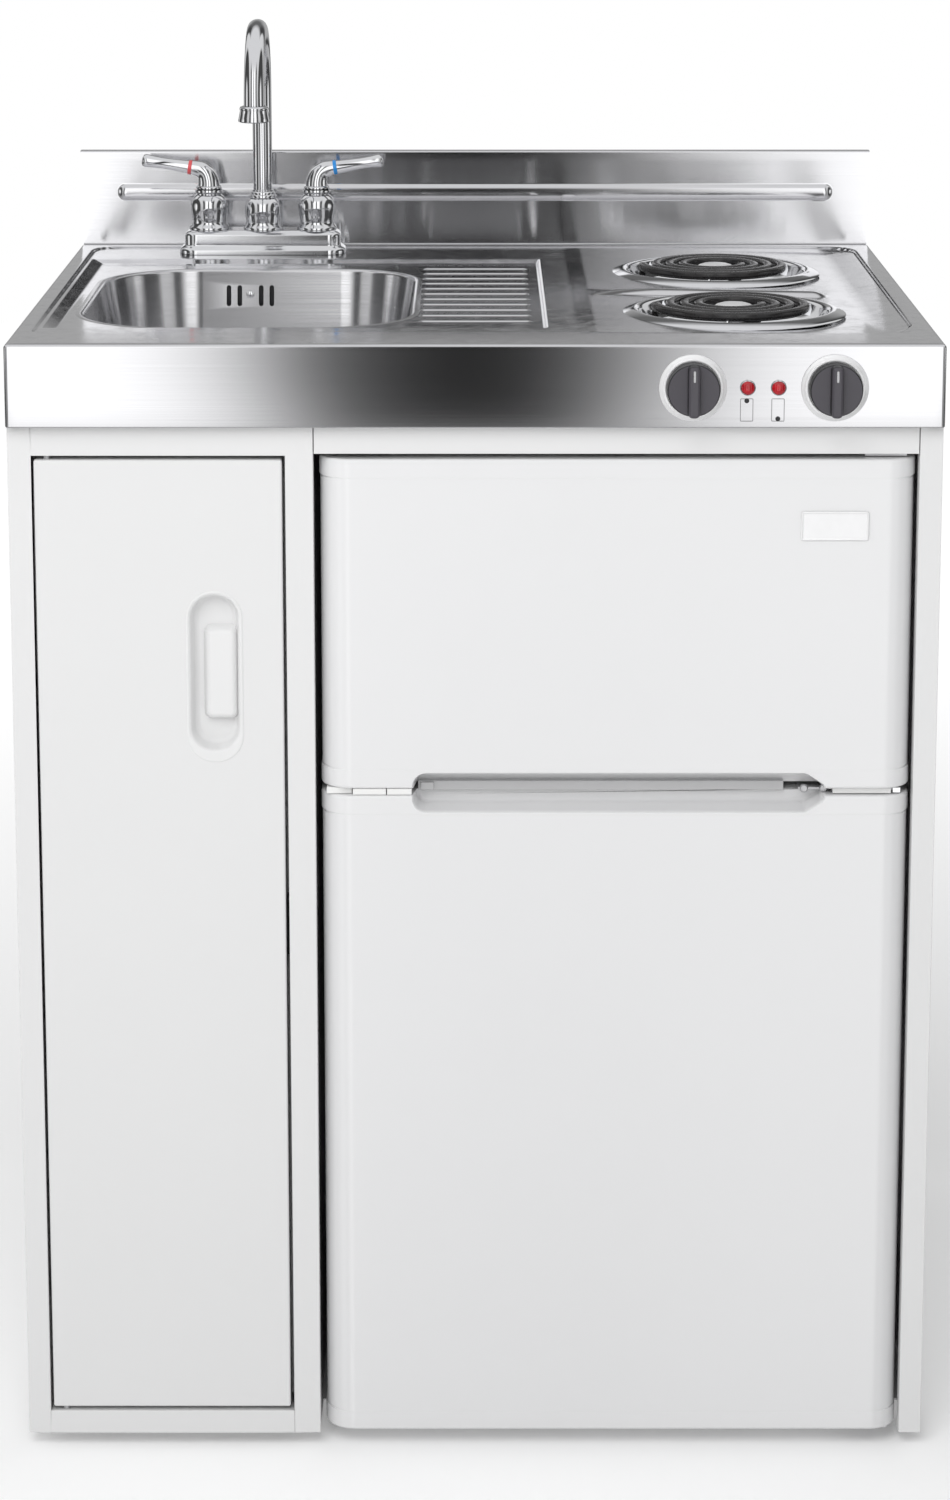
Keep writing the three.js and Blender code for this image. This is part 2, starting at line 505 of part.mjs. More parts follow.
function casing() {
  const { x0, x1, z0, z1, u0, u1 } = FRIDGE;
  const outer = section(sideOutline(u0, u1, z0, z1, NICHE.u, NICHE.z), x0, x1);
  const hollow = section(
    sideOutline(u0 - 1, u1 - SHEET, z0 + SHEET, z1 - SHEET, NICHE.u - SHEET, NICHE.z + SHEET),
    x0 + SHEET, x1 - SHEET);
  piece('fridge_casing', cut(outer, hollow), PAINT);

  const wall = 2.5;
  const flange = block(
    x0 + SHEET + GAP, x1 - SHEET - GAP, behind(u0), behind(u0 + wall), z0 + SHEET + GAP, z1 - SHEET - GAP);
  const shells = [FREEZER_ROOM, FRIDGE_ROOM].map((r) => room(r, wall).intersect(
    block(x0, x1, behind(u0), behind(u1), z0, z1)));
  piece('fridge_liner', cut(
    join(flange, ...shells), room(FREEZER_ROOM, 0), room(FRIDGE_ROOM, 0)), LINER_WHITE);
}

function fridgeInside() {
  const { x0, x1 } = FRIDGE_ROOM;
  const icePlate = block(
    FREEZER_ROOM.x0 + 6, FREEZER_ROOM.x1 - 6, behind(92), behind(490),
    FREEZER_ROOM.z0 + GAP, FREEZER_ROOM.z0 + 5);
  piece('evaporator_plate', icePlate, SATIN);
  piece('fridge_shelf', block(x0 + GAP, x1 - GAP, behind(158), behind(498), 398, 403), CLEAR);
  piece('crisper_cover', block(x0 + GAP, x1 - GAP, behind(158), behind(380), 208, 213), CLEAR);

  const drawerOuter = block(x0 + 8, x1 - 8, behind(162), behind(380), 62, 204);
  const drawerInner = block(x0 + 11, x1 - 11, behind(165), behind(377), 65, 210);
  piece('crisper_drawer', cut(drawerOuter, drawerInner), CLEAR);

  const controlX = x1 - 27;
  piece('thermostat_housing', block(controlX, x1 - GAP, behind(170), behind(270), 440, 484), LINER_WHITE);
  const dial = solid(lathe([[0, 0], [15, 0], [16, 2], [14.5, 11], [0, 11]], 20)
    .rotateZ(Math.PI / 2).translate(controlX - GAP, behind(220), 462));
  const pointer = block(controlX - 15, controlX - 9, behind(218.5), behind(221.5), 448, 476);
  piece('thermostat_knob', join(dial, pointer), LINER_WHITE);
}

function fridgeRear() {
  const can = [[0, 16], [58, 16], [62, 24], [62, 116], [54, 136], [30, 146], [0, 148]];
  const feet = block(120, 280, behind(452), behind(518), 14.2, 18);
  piece('compressor', join(turned(can, 200, behind(485), 20), feet), BLACK);

  piece('condenser_coil', condenser(), BLACK);
}

// A flat serpentine: level runs joined at alternate ends, with two hangers that tie the runs together.
function condenser() {
  const runs = 9;
  const pitch = 62;
  const strip = 5;
  const [left, right, bottom] = [-90, 318, 240];
  const [y0, y1] = [behind(FRIDGE.u1 + 12), behind(FRIDGE.u1 + 12 + strip)];
  const bars = [];
  for (let i = 0; i < runs; i++) {
    const z = bottom + i * pitch;
    bars.push(block(left, right, y0, y1, z, z + strip));
    if (i === 0) continue;
    const x = i % 2 ? right - strip : left;
    bars.push(block(x, x + strip, y0, y1, z - pitch, z + strip));
  }
  const hangerTop = bottom + (runs - 1) * pitch + strip + 8;
  for (const x of [left + 60, right - 60]) {
    bars.push(block(x, x + 3, behind(FRIDGE.u1) + GAP, y1, bottom - 8, hangerTop));
  }
  return join(...bars);
}

// The plan outline of a door leaf: a flat front, a round left edge, and an arc about the pin at the right.
function leafOutline() {
  const { x0, x1, u0, thick, corner } = LEAF;
  const pinRadius = x1 - LEAF_PIN.x;
  const [front, back] = [behind(u0), behind(u0 + thick)];
  const shape = new THREE.Shape();
  shape.moveTo(x0 + corner, front);
  shape.absarc(LEAF_PIN.x, behind(LEAF_PIN.u), pinRadius, -Math.PI / 2, 0);
  shape.lineTo(x1, back - 6);
  shape.lineTo(x1 - 6, back);
  shape.lineTo(x0, back);
  shape.absarc(x0 + corner, front + corner, corner, Math.PI, 1.5 * Math.PI);
  return shape;
}

function pocketCut() {
  const { x0, x1, z0, z1, depth, chamfer } = POCKET;
  const mouth = polygon([
    [x0 + chamfer, z0], [x1 - chamfer, z0], [x1, z0 + chamfer], [x1, z1 - chamfer], [x1 - chamfer, z1],
    [x0 + chamfer, z1], [x0, z1 - chamfer], [x0, z0 + chamfer]]);
  return panel(mouth, behind(LEAF.u0 - 5), behind(LEAF.u0 + depth));
}

function gasket(name, z0, z1) {
  const [x0, x1, width] = [-117, 344, 14];
  const outside = block(x0, x1, behind(58.6), behind(64), z0, z1);
  const inside = block(x0 + width, x1 - width, behind(50), behind(70), z0 + width, z1 - width);
  piece(name, cut(outside, inside), RUBBER);
}

function leafPinHole(z0, z1) {
  return rod(LEAF_PIN.x, behind(LEAF_PIN.u), LEAF_PIN.radius + 0.6, z0, z1);
}

function rack(x0, x1, z, height) {
  const outer = block(x0, x1, behind(58), behind(142), z, z + height);
  const inner = block(x0 + 2.5, x1 - 2.5, behind(61), behind(139.5), z + 2.5, z + height + 1);
  return cut(outer, inner);
}

function leaves() {
  const back = LEAF.u0 + LEAF.thick;
  const skinWall = 2.5;
  const endCap = 6;
  const leaf = ([z0, z1]) => {
    const full = plate(leafOutline(), z0, z1, 3);
    const room = block(
      LEAF.x0 + LEAF.corner, LEAF_PIN.x - 20, behind(LEAF.u0 + skinWall), behind(back + 1),
      z0 + endCap, z1 - endCap);
    const pocketWalls = block(
      POCKET.x0 - 4, POCKET.x1 + 4, behind(0), behind(LEAF.u0 + POCKET.depth + 3),
      POCKET.z0 - 4, POCKET.z1 + 4);
    const pinHoles = [leafPinHole(z0 - 1, z0 + 16), leafPinHole(z1 - 16, z1 + 1)];
    return cut(full, cut(room, pocketWalls), pocketCut(), ...pinHoles);
  };
  piece('freezer_door', leaf(FREEZER_DOOR_Z), GLOSS_WHITE);
  piece('fridge_door', leaf(FRIDGE_DOOR_Z), GLOSS_WHITE);

  const linerPlate = (z0, z1) => block(LEAF.x0 + 9, 346, behind(back) + GAP, behind(back) + 2.3, z0, z1);
  const dike = (x0, x1, z0, z1) => cut(
    block(x0, x1, behind(back) + 1, behind(76), z0, z1),
    block(x0 + skinWall, x1 - skinWall, behind(back + 3), behind(90), z0 + skinWall, z1 - skinWall));
  piece('freezer_door_liner', join(linerPlate(585, 846), dike(-78, 300, 604, 806)), LINER_WHITE);
  const racks = [rack(-70, 300, 100, 70), rack(-70, 300, 330, 60)];
  piece('fridge_door_liner', join(linerPlate(46, 562), dike(-78, 300, 72, 538), ...racks), LINER_WHITE);
  gasket('freezer_gasket', 587, 845);
  gasket('fridge_gasket', 50, 560);
  const badge = roundedRect(264, 319, above(-162), above(-138), 2);
  piece('badge_plate', panel(badge, behind(LEAF.u0) - 1.2, behind(LEAF.u0) - GAP, 1), SATIN);
}

function hinges() {
  const y = behind(LEAF_PIN.u);
  const pin = (z0, z1) => rod(LEAF_PIN.x, y, LEAF_PIN.radius, z0, z1);
  const arm = (z0, z1, u1) => block(316, 350, behind(20), behind(u1), z0, z1);
  const flange = (z0, z1) => block(316, 350, behind(63.7), behind(65.7), z0, z1);
  const topPlate = join(arm(854.5, 857.2, 110), pin(842, 856));
  piece('top_hinge', topPlate, SATIN);
  piece('middle_hinge', join(arm(574.2, 576.8, 65.7), flange(567, 583), pin(561, 590)), SATIN);
  piece('bottom_hinge', join(arm(12.2, 14.7, 65.7), flange(12.2, 44), pin(12.2, 28)), SATIN);
}

cabinet();
cupboardDoor();
worktop();
backsplash();
sink();
tap();
for (const end of ['front', 'rear']) {
  dripPan(end);
  coilElement(end);
  receptacle(end);
}
controls();
casing();
fridgeInside();
fridgeRear();
leaves();
hinges();

export default unit;
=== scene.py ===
"""A kitchenette unit: a steel cabinet with a cupboard and a fridge-freezer under a pressed stainless
worktop with a sink, a tap and two coil rings. Sizes inside the code are in millimetres."""

from math import cos, hypot, pi, radians, sin

import bmesh
import bpy
from bpy.props import FloatProperty, FloatVectorProperty, IntProperty, PointerProperty
from bpy.types import Operator, Panel, PropertyGroup
from mathutils import Euler, Matrix, Vector


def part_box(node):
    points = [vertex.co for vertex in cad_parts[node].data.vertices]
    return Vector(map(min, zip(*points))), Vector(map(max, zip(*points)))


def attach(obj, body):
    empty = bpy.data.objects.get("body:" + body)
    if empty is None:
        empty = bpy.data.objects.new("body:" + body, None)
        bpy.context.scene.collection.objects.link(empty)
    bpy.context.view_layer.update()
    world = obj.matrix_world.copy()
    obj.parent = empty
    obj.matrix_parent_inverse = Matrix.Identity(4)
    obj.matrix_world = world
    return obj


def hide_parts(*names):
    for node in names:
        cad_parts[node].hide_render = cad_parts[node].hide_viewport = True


bl_info = {
    "name": "Kitchenette Unit",
    "version": (1, 0, 0),
    "blender": (4, 5, 0),
    "location": "3D View > Sidebar > Kitchenette",
    "description": "Builds a kitchenette unit with a sink, two coil rings and a fridge-freezer",
    "category": "Object",
}

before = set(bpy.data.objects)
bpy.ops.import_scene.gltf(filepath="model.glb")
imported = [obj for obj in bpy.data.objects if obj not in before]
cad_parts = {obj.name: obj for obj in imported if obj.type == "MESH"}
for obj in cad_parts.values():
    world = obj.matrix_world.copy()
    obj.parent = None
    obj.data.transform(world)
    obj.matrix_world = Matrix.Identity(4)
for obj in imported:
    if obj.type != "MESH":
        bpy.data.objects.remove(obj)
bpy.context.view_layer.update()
MM = 0.001


def span(node):
    """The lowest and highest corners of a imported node, in millimetres."""
    low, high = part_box(node)
    return Vector(low) / MM, Vector(high) / MM


TOP_LOW, TOP_HIGH = span("worktop")
RIM = TOP_HIGH.z
FRONT = TOP_LOW.y
REAR = TOP_HIGH.y
HALF = TOP_HIGH.x
SKIRT = TOP_LOW.z


def on_apron(node):
    """The place on the apron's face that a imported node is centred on."""
    low, high = span(node)
    return (low.x + high.x) / 2, FRONT, (low.z + high.z) / 2


def deep(u):
    """The Y of a point u millimetres behind the apron."""
    return FRONT + u


def up(h):
    """The Z of a point h millimetres above the worktop's rim."""
    return RIM + h


# ---------------------------------------------------------------- settings

def length(name, description, default):
    return FloatProperty(name=name, description=description, default=default * MM, unit="LENGTH")


def colour(name, description, default):
    return FloatVectorProperty(
        name=name, description=description, default=default, size=3, min=0, max=1, subtype="COLOR")


class StudioSettings(PropertyGroup):
    camera_place: FloatVectorProperty(
        name="Camera place", description="Where the camera stands", size=3, subtype="XYZ",
        unit="LENGTH", default=(0.0, -3.1965, 1.420))
    camera_tilt: FloatProperty(
        name="Camera tilt", description="How far the camera looks down", subtype="ANGLE",
        unit="ROTATION", default=radians(10.4))
    camera_lens: FloatProperty(
        name="Focal length", description="Focal length in millimetres on a 36 mm sensor", default=88.1)
    camera_rise: FloatProperty(
        name="Vertical shift", description="Lens shift, as a share of the picture's height", default=-0.22)
    floor_colour: colour("Floor", "Colour of the floor", (0.93, 0.93, 0.93))


class FinishSettings(PropertyGroup):
    steel: colour("Stainless steel", "Colour of the bare steel", (0.72, 0.72, 0.735))
    paint: colour("Cabinet paint", "Colour of the painted sheet", (0.725, 0.725, 0.725))
    enamel: colour("Door enamel", "Colour of the fridge doors", (0.745, 0.745, 0.75))
    element: colour("Ring element", "Colour of the heating elements", (0.012, 0.012, 0.013))
    knob: colour("Knobs", "Colour of the control knobs", (0.058, 0.054, 0.064))
    lamp: colour("Lamps", "Colour of the pilot lamps", (0.52, 0.008, 0.018))
    hot: colour("Hot band", "Colour of the hot lever's band", (0.76, 0.09, 0.10))
    cold: colour("Cold band", "Colour of the cold lever's band", (0.01, 0.28, 0.76))


class WorktopSettings(PropertyGroup):
    edge_radius: length("Edge radius", "Radius of the worktop's folded edges", 3.2)
    ledge_drop: length("Ledge drop", "How far the ledge lies below the rim", 1.5)
    sink_drop: length("Sink area drop", "How far the sink area lies below the rim", 5)
    hob_drop: length("Hob area drop", "How far the hob area's right end lies below the rim", 4.5)
    ridge_count: IntProperty(name="Drainer ridges", description="Number of ridges", default=11)
    ridge_height: length("Ridge height", "Height of the drainer's ridges", 1.3)
    bowl_depth: length("Bowl depth", "Depth of the bowl below the sink area", 84)
    bead_height: length("Backsplash bead", "How far the backsplash's bead stands out", 4)


class HobSettings(PropertyGroup):
    burner_x: length("Ring centre", "Distance of both rings from the unit's middle", 219.5)
    front_ring: length("Front ring", "Distance of the front ring's centre behind the apron", 182)
    rear_ring: length("Rear ring", "Distance of the rear ring's centre behind the apron", 424)
    pan_radius: length("Pan radius", "Outside radius of the drip pans", 95.3)
    coil_radius: length("Coil radius", "Radius of the outer winding's centre line", 66)
    coil_turns: FloatProperty(name="Coil turns", description="Number of windings", default=3.5)
    coil_top: length("Coil height", "Height of the windings above the rim", 7.5)


class DoorSettings(PropertyGroup):
    leaf_corner: length("Door corner", "Radius of the fridge doors' left edge", 26)
    pocket_depth: length("Pull pocket", "Depth of the pull pocket", 23)
    pull_depth: length("Finger pull", "Depth of the cupboard door's finger pull", 14)
    fold_radius: length("Fold radius", "Radius of the cupboard door's folded edges", 1.8)


def settings(kind):
    """The scene's settings of one kind, such as hob."""
    return getattr(bpy.context.scene, "kitchenette_" + kind)


def size(kind, name):
    """A length setting in millimetres."""
    return getattr(settings(kind), name) / MM


# ---------------------------------------------------------------- outlines and paths

def rounded(x0, x1, y0, y1, radii, steps=8):
    """Points round a rectangle with round corners. radii: one, or front left, front right, rear
    right and rear left."""
    fl, fr, rr, rl = radii if isinstance(radii, (tuple, list)) else (radii,) * 4
    corners = [(x1 - fr, y0 + fr, fr, -90), (x1 - rr, y1 - rr, rr, 0),
               (x0 + rl, y1 - rl, rl, 90), (x0 + fl, y0 + fl, fl, 180)]
    return [point for cx, cy, radius, start in corners
            for point in arc(cx, cy, radius, start, start + 90, steps)]


def circle(cx, cy, radius, steps=64):
    angles = [2 * pi * i / steps for i in range(steps)]
    return [(cx + radius * cos(angle), cy + radius * sin(angle)) for angle in angles]


def arc(cx, cy, radius, start, end, steps):
    """Points on a circle from one angle to another, in degrees."""
    angles = [radians(start + (end - start) * i / steps) for i in range(steps + 1)]
    return [(cx + radius * cos(angle), cy + radius * sin(angle)) for angle in angles]


def offset(outline, distance):
    """The outline moved outward by distance. It runs anticlockwise."""
    count = len(outline)
    moved = []
    for i, (x, y) in enumerate(outline):
        before, after = outline[i - 1], outline[(i + 1) % count]
        normals = []
        for (ax, ay), (bx, by) in ((before, (x, y)), ((x, y), after)):
            run = hypot(bx - ax, by - ay)
            if run > 1e-6:
                normals.append(((by - ay) / run, (ax - bx) / run))
        nx = sum(n[0] for n in normals)
        ny = sum(n[1] for n in normals)
        scale = distance * len(normals) / max(nx * nx + ny * ny, 1e-6)
        moved.append((x + nx * scale, y + ny * scale))
    return moved


def flat(outline, z):
    """An (x, y) outline that lies at height z."""
    return [Vector((x, y, z)) for x, y in outline]


def upright(outline, y):
    """An (x, z) outline that stands at depth y."""
    return [Vector((x, y, z)) for x, z in outline]


def smooth_path(points, steps=6):
    """A smooth curve through the points."""
    points = [Vector(p) for p in points]
    ends = [2 * points[0] - points[1]] + points + [2 * points[-1] - points[-2]]
    path = []
    for a, b, c, d in zip(ends, ends[1:], ends[2:], ends[3:]):
        for i in range(steps):
            t = i / steps
            path.append(0.5 * (2 * b + (c - a) * t + (2 * a - 5 * b + 4 * c - d) * t * t
                               + (3 * b - a - 3 * c + d) * t ** 3))
    return path + [points[-1]]


def ease(t):
    """0 before 0, 1 after 1 and an even slope between them, with short bends at its ends."""
    bend = 0.16
    t = min(max(t, 0.0), 1.0)
    rise = 1 / (1 - bend)
    if t < bend:
        return rise * t * t / (2 * bend)
    if t > 1 - bend:
        return 1 - rise * (1 - t) ** 2 / (2 * bend)
    return rise * (t - bend / 2)


# ---------------------------------------------------------------- meshes

class Shell:
    """Points in millimetres and faces, gathered until they become one piece."""

    def __init__(self):
        self.points = []
        self.faces = []
        self.finishes = []
        self.finish = 0

    def row(self, points):
        first = len(self.points)
        self.points.extend(Vector(p) for p in points)
        return list(range(first, len(self.points)))

    def face(self, *corners):
        self.faces.append(corners)
        self.finishes.append(self.finish)

    def bridge(self, a, b, closed=True):
        count = len(a)
        for i in range(count if closed else count - 1):
            j = (i + 1) % count
            self.face(a[i], a[j], b[j], b[i])

    def loft(self, rings, closed=True, first=True, last=True):
        rows = [self.row(ring) for ring in rings]
        for a, b in zip(rows, rows[1:]):
            self.bridge(a, b, closed)
        if first:
            self.face(*reversed(rows[0]))
        if last:
            self.face(*rows[-1])
        return rows

    def turn(self, profile, centre, facing="up", steps=64):
        """A profile of (radius, distance) turned about an axis through centre. facing: up, or
        out of the front."""
        cx, cy, cz = centre
        rings = []
        for radius, along in profile:
            around = circle(0, 0, radius, steps)
            if facing == "up":
                rings.append([(cx + a, cy + b, cz + along) for a, b in around])
            else:
                rings.append([(cx + a, cy - along, cz + b) for a, b in around])
        self.loft(rings, first=profile[0][0] > 0.01, last=profile[-1][0] > 0.01)

    def sweep(self, path, radius, steps=16, side=None, section=None):
        """A tube along the path. radius: one, or one for each point. side: what the section's
        first axis stays close to. section: (a, b) points for a radius of 1."""
        path = [Vector(p) for p in path]
        radii = radius if isinstance(radius, (list, tuple)) else [radius] * len(path)
        section = section or circle(0, 0, 1, steps)
        rings = []
        across = Vector(side) if side else None
        for i, point in enumerate(path):
            along = (path[min(i + 1, len(path) - 1)] - path[max(i - 1, 0)]).normalized()
            if across is None:
                across = along.orthogonal()
            a = (across - along * across.dot(along)).normalized()
            if side is None:
                across = a
            b = along.cross(a)
            rings.append([point + a * (radii[i] * s) + b * (radii[i] * t) for s, t in section])
        self.loft(rings)

    def block(self, x0, x1, y0, y1, z0, z1):
        self.loft([flat([(x0, y0), (x1, y0), (x1, y1), (x0, y1)], z) for z in (z0, z1)])

    def prism(self, outline, z0, z1):
        self.loft([flat(outline, z0), flat(outline, z1)])

    def plaque(self, outline, y0, y1):
        """An (x, z) outline that reaches from depth y0 to y1."""
        self.loft([upright(outline, y0), upright(outline, y1)])

    def relief(self, outline, y, steps, **ends):
        """An (x, z) outline that grows and stands out of depth y by steps of (growth, distance)."""
        return self.loft([upright(offset(outline, grow), y - out) for grow, out in steps], **ends)

    def move(self, first, place, turn=Matrix.Identity(3)):
        """Turns and moves the points from number first on."""
        for i in range(first, len(self.points)):
            self.points[i] = turn @ self.points[i] + Vector(place)

    def screw(self, centre, radius=3.2, facing="front"):
        """A pan head with a cross. facing: front, rear, up, left or right."""
        turns = {"front": Matrix.Identity(3), "rear": Matrix.Rotation(pi, 3, "Z"),
                 "up": Matrix.Rotation(-pi / 2, 3, "X"), "left": Matrix.Rotation(-pi / 2, 3, "Z"),
                 "right": Matrix.Rotation(pi / 2, 3, "Z")}
        first = len(self.points)
        head = [(radius, -0.4), (radius, 0.5), (radius * 0.9, 1.1), (radius * 0.6, 1.7), (0, 1.9)]
        self.turn(head, (0, 0, 0), "front", 20)
        for long, short in ((0.55, 0.13), (0.13, 0.55)):
            self.block(-radius * long, radius * long, -2.0, -1.2, -radius * short, radius * short)
        self.move(first, centre, turns[facing])


def carve(piece, *cutters):
    """Cuts the cutters out of the piece for good."""
    for cutter in cutters:
        cut = piece.modifiers.new("Cut", "BOOLEAN")
        cut.object = cutter
        cut.solver = "MANIFOLD"
    settle(piece)
    for cutter in cutters:
        bpy.data.objects.remove(cutter)


def settle(piece):
    """Turns the piece's modifiers into its mesh."""
    bpy.context.view_layer.update()
    seen = piece.evaluated_get(bpy.context.evaluated_depsgraph_get())
    mesh = bpy.data.meshes.new_from_object(seen)
    piece.modifiers.clear()
    piece.data = mesh


def mesh_object(name, shell, finishes=(), merge=True):
    mesh = bpy.data.meshes.new(name)
    mesh.from_pydata([p * MM for p in shell.points], [], shell.faces)
    for finish in finishes:
        mesh.materials.append(FINISHES[finish])
    mesh.polygons.foreach_set("material_index", shell.finishes)
    if merge:
        work = bmesh.new()
        work.from_mesh(mesh)
        bmesh.ops.remove_doubles(work, verts=work.verts, dist=1e-6)
        bmesh.ops.recalc_face_normals(work, faces=work.faces)
        work.to_mesh(mesh)
        work.free()
    piece = bpy.data.objects.new(name, mesh)
    bpy.context.scene.collection.objects.link(piece)
    return piece


def cutter(shell):
    """A solid that carve takes away."""
    return mesh_object("cutter", shell)


def finish_piece(piece, body, slot, replaces=(), sharp=38, bevel=0.0, weighted=True):
    """Shades a piece, rounds its edges and hangs it under its body's empty."""
    mesh = piece.data
    mesh.shade_smooth()
    if bevel:
        rounding = piece.modifiers.new("Rounded edges", "BEVEL")
        rounding.width = bevel * MM
        rounding.segments = 3
        rounding.limit_method = "ANGLE"
        rounding.angle_limit = radians(40)
        rounding.harden_normals = True
    else:
        mesh.set_sharp_from_angle(angle=radians(sharp))
        if weighted:
            piece.modifiers.new("Even shading", "WEIGHTED_NORMAL").keep_sharp = True
    if replaces:
        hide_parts(*replaces)
    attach(piece, body)
    return piece


def make_piece(name, shell, finishes, body, slot, replaces=(), **looks):
    """Makes the shell a piece with its finishes and hangs it under its body's empty."""
    finishes = (finishes,) if isinstance(finishes, str) else finishes
    return finish_piece(mesh_object(name, shell, finishes), body, slot, replaces, **looks)


# ---------------------------------------------------------------- shader nodes

FINISHES = {}


def add(tree, kind, values=(), **inputs):
    """Adds a node. values: its own properties. inputs: sockets by name, as numbers or links."""
    node = tree.nodes.new(kind)
    for key, value in dict(values).items():
        setattr(node, key, value)
    for key, value in inputs.items():
        socket = node.inputs[int(key[1:]) if key[1:].isdigit() else key.replace("_", " ")]
        if isinstance(value, bpy.types.NodeSocket):
            tree.links.new(value, socket)
        else:
            socket.default_value = value
    return node


def noise(tree, vector, scale, detail=2.0, roughness=0.5):
    return add(tree, "ShaderNodeTexNoise", Vector=vector, Scale=scale, Detail=detail,
               Roughness=roughness).outputs["Fac"]


def remap(tree, value, low, high, to_low, to_high):
    return add(tree, "ShaderNodeMapRange", Value=value, From_Min=low, From_Max=high, To_Min=to_low,
               To_Max=to_high).outputs["Result"]


def math(tree, operation, a, b=0.0):
    return add(tree, "ShaderNodeMath", {"operation": operation}, _0=a, _1=b).outputs[0]


def mix(tree, factor, a, b):
    node = add(tree, "ShaderNodeMix", {"data_type": "RGBA"}, _0=factor)
    for index, value in ((6, a), (7, b)):
        if isinstance(value, bpy.types.NodeSocket):
            tree.links.new(value, node.inputs[index])
        else:
            node.inputs[index].default_value = (*value[:3], 1)
    return node.outputs[2]


def group(name, inputs, outputs):
    """An empty node group with named inputs and outputs, and its two ends."""
    tree = bpy.data.node_groups.new(name, "ShaderNodeTree")
    for label, kind, default in inputs:
        socket = tree.interface.new_socket(label, in_out="INPUT", socket_type="NodeSocket" + kind)
        if default is not None:
            socket.default_value = default
    for label in outputs:
        tree.interface.new_socket(label, in_out="OUTPUT", socket_type="NodeSocketFloat")
    return tree, tree.nodes.new("NodeGroupInput").outputs, tree.nodes.new("NodeGroupOutput").inputs


def grain_group():
    """Fine lines left by a sanding belt. Lines says how many there are in a metre of each axis."""
    tree, given, out = group(
        "Brushed Grain", (("Vector", "Vector", None), ("Lines", "Vector", (4, 1200, 1200))),
        ("Streak", "Height"))
    lines = add(tree, "ShaderNodeVectorMath", {"operation": "MULTIPLY"}, _0=given["Vector"],
                _1=given["Lines"]).outputs[0]
    coarse = noise(tree, lines, 0.9, 2, 0.6)
    fine = noise(tree, lines, 1.9, 3, 0.7)
    tree.links.new(remap(tree, coarse, 0.3, 0.7, 0, 1), out["Streak"])
    tree.links.new(math(tree, "ADD", math(tree, "MULTIPLY", fine, 0.7), coarse), out["Height"])
    return tree


def mottle_group():
    """Soft clouds that tell one place of a surface from the next."""
    tree, given, out = group(
        "Mottle", (("Vector", "Vector", None), ("Scale", "Float", 8.0)), ("Mask",))
    clouds = noise(tree, given["Vector"], given["Scale"], 3, 0.55)
    tree.links.new(remap(tree, clouds, 0.22, 0.78, 0, 1), out["Mask"])
    return tree


def peel_group():
    """The low waves of sprayed paint, with a finer grain on them."""
    tree, given, out = group(
        "Orange Peel", (("Vector", "Vector", None), ("Scale", "Float", 320.0)), ("Height",))
    waves = noise(tree, given["Vector"], given["Scale"], 1, 0.4)
    fine = noise(tree, given["Vector"], math(tree, "MULTIPLY", given["Scale"], 4.5), 1, 0.5)
    tree.links.new(math(tree, "ADD", waves, math(tree, "MULTIPLY", fine, 0.25)), out["Height"])
    return tree


def dust_group():
    """Dust that settles on what faces up."""
    tree, given, out = group(
        "Dust", (("Vector", "Vector", None), ("Amount", "Float", 0.2)), ("Mask",))
    facing = add(tree, "ShaderNodeSeparateXYZ", Vector=add(
        tree, "ShaderNodeNewGeometry").outputs["Normal"]).outputs["Z"]
    level = remap(tree, facing, 0.55, 1, 0, 1)
    specks = remap(tree, noise(tree, given["Vector"], 60, 4, 0.7), 0.42, 0.75, 0, 1)
    tree.links.new(
        math(tree, "MULTIPLY", math(tree, "MULTIPLY", level, specks), given["Amount"]), out["Mask"])
    return tree


def scuff_group():
    """Short hairline scratches that lie in two directions."""
    tree, given, out = group(
        "Scuffs", (("Vector", "Vector", None), ("Density", "Float", 30.0)), ("Mask",))
    masks = []
    for turn in (0.5, -0.9):
        turned = add(tree, "ShaderNodeMapping", Vector=given["Vector"], Rotation=(turn, turn, turn),
                     Scale=(1.0, 26.0, 26.0)).outputs[0]
        lines = noise(tree, turned, given["Density"], 2, 0.5)
        masks.append(remap(tree, lines, 0.69, 0.74, 0, 1))
    tree.links.new(math(tree, "MAXIMUM", *masks), out["Mask"])
    return tree


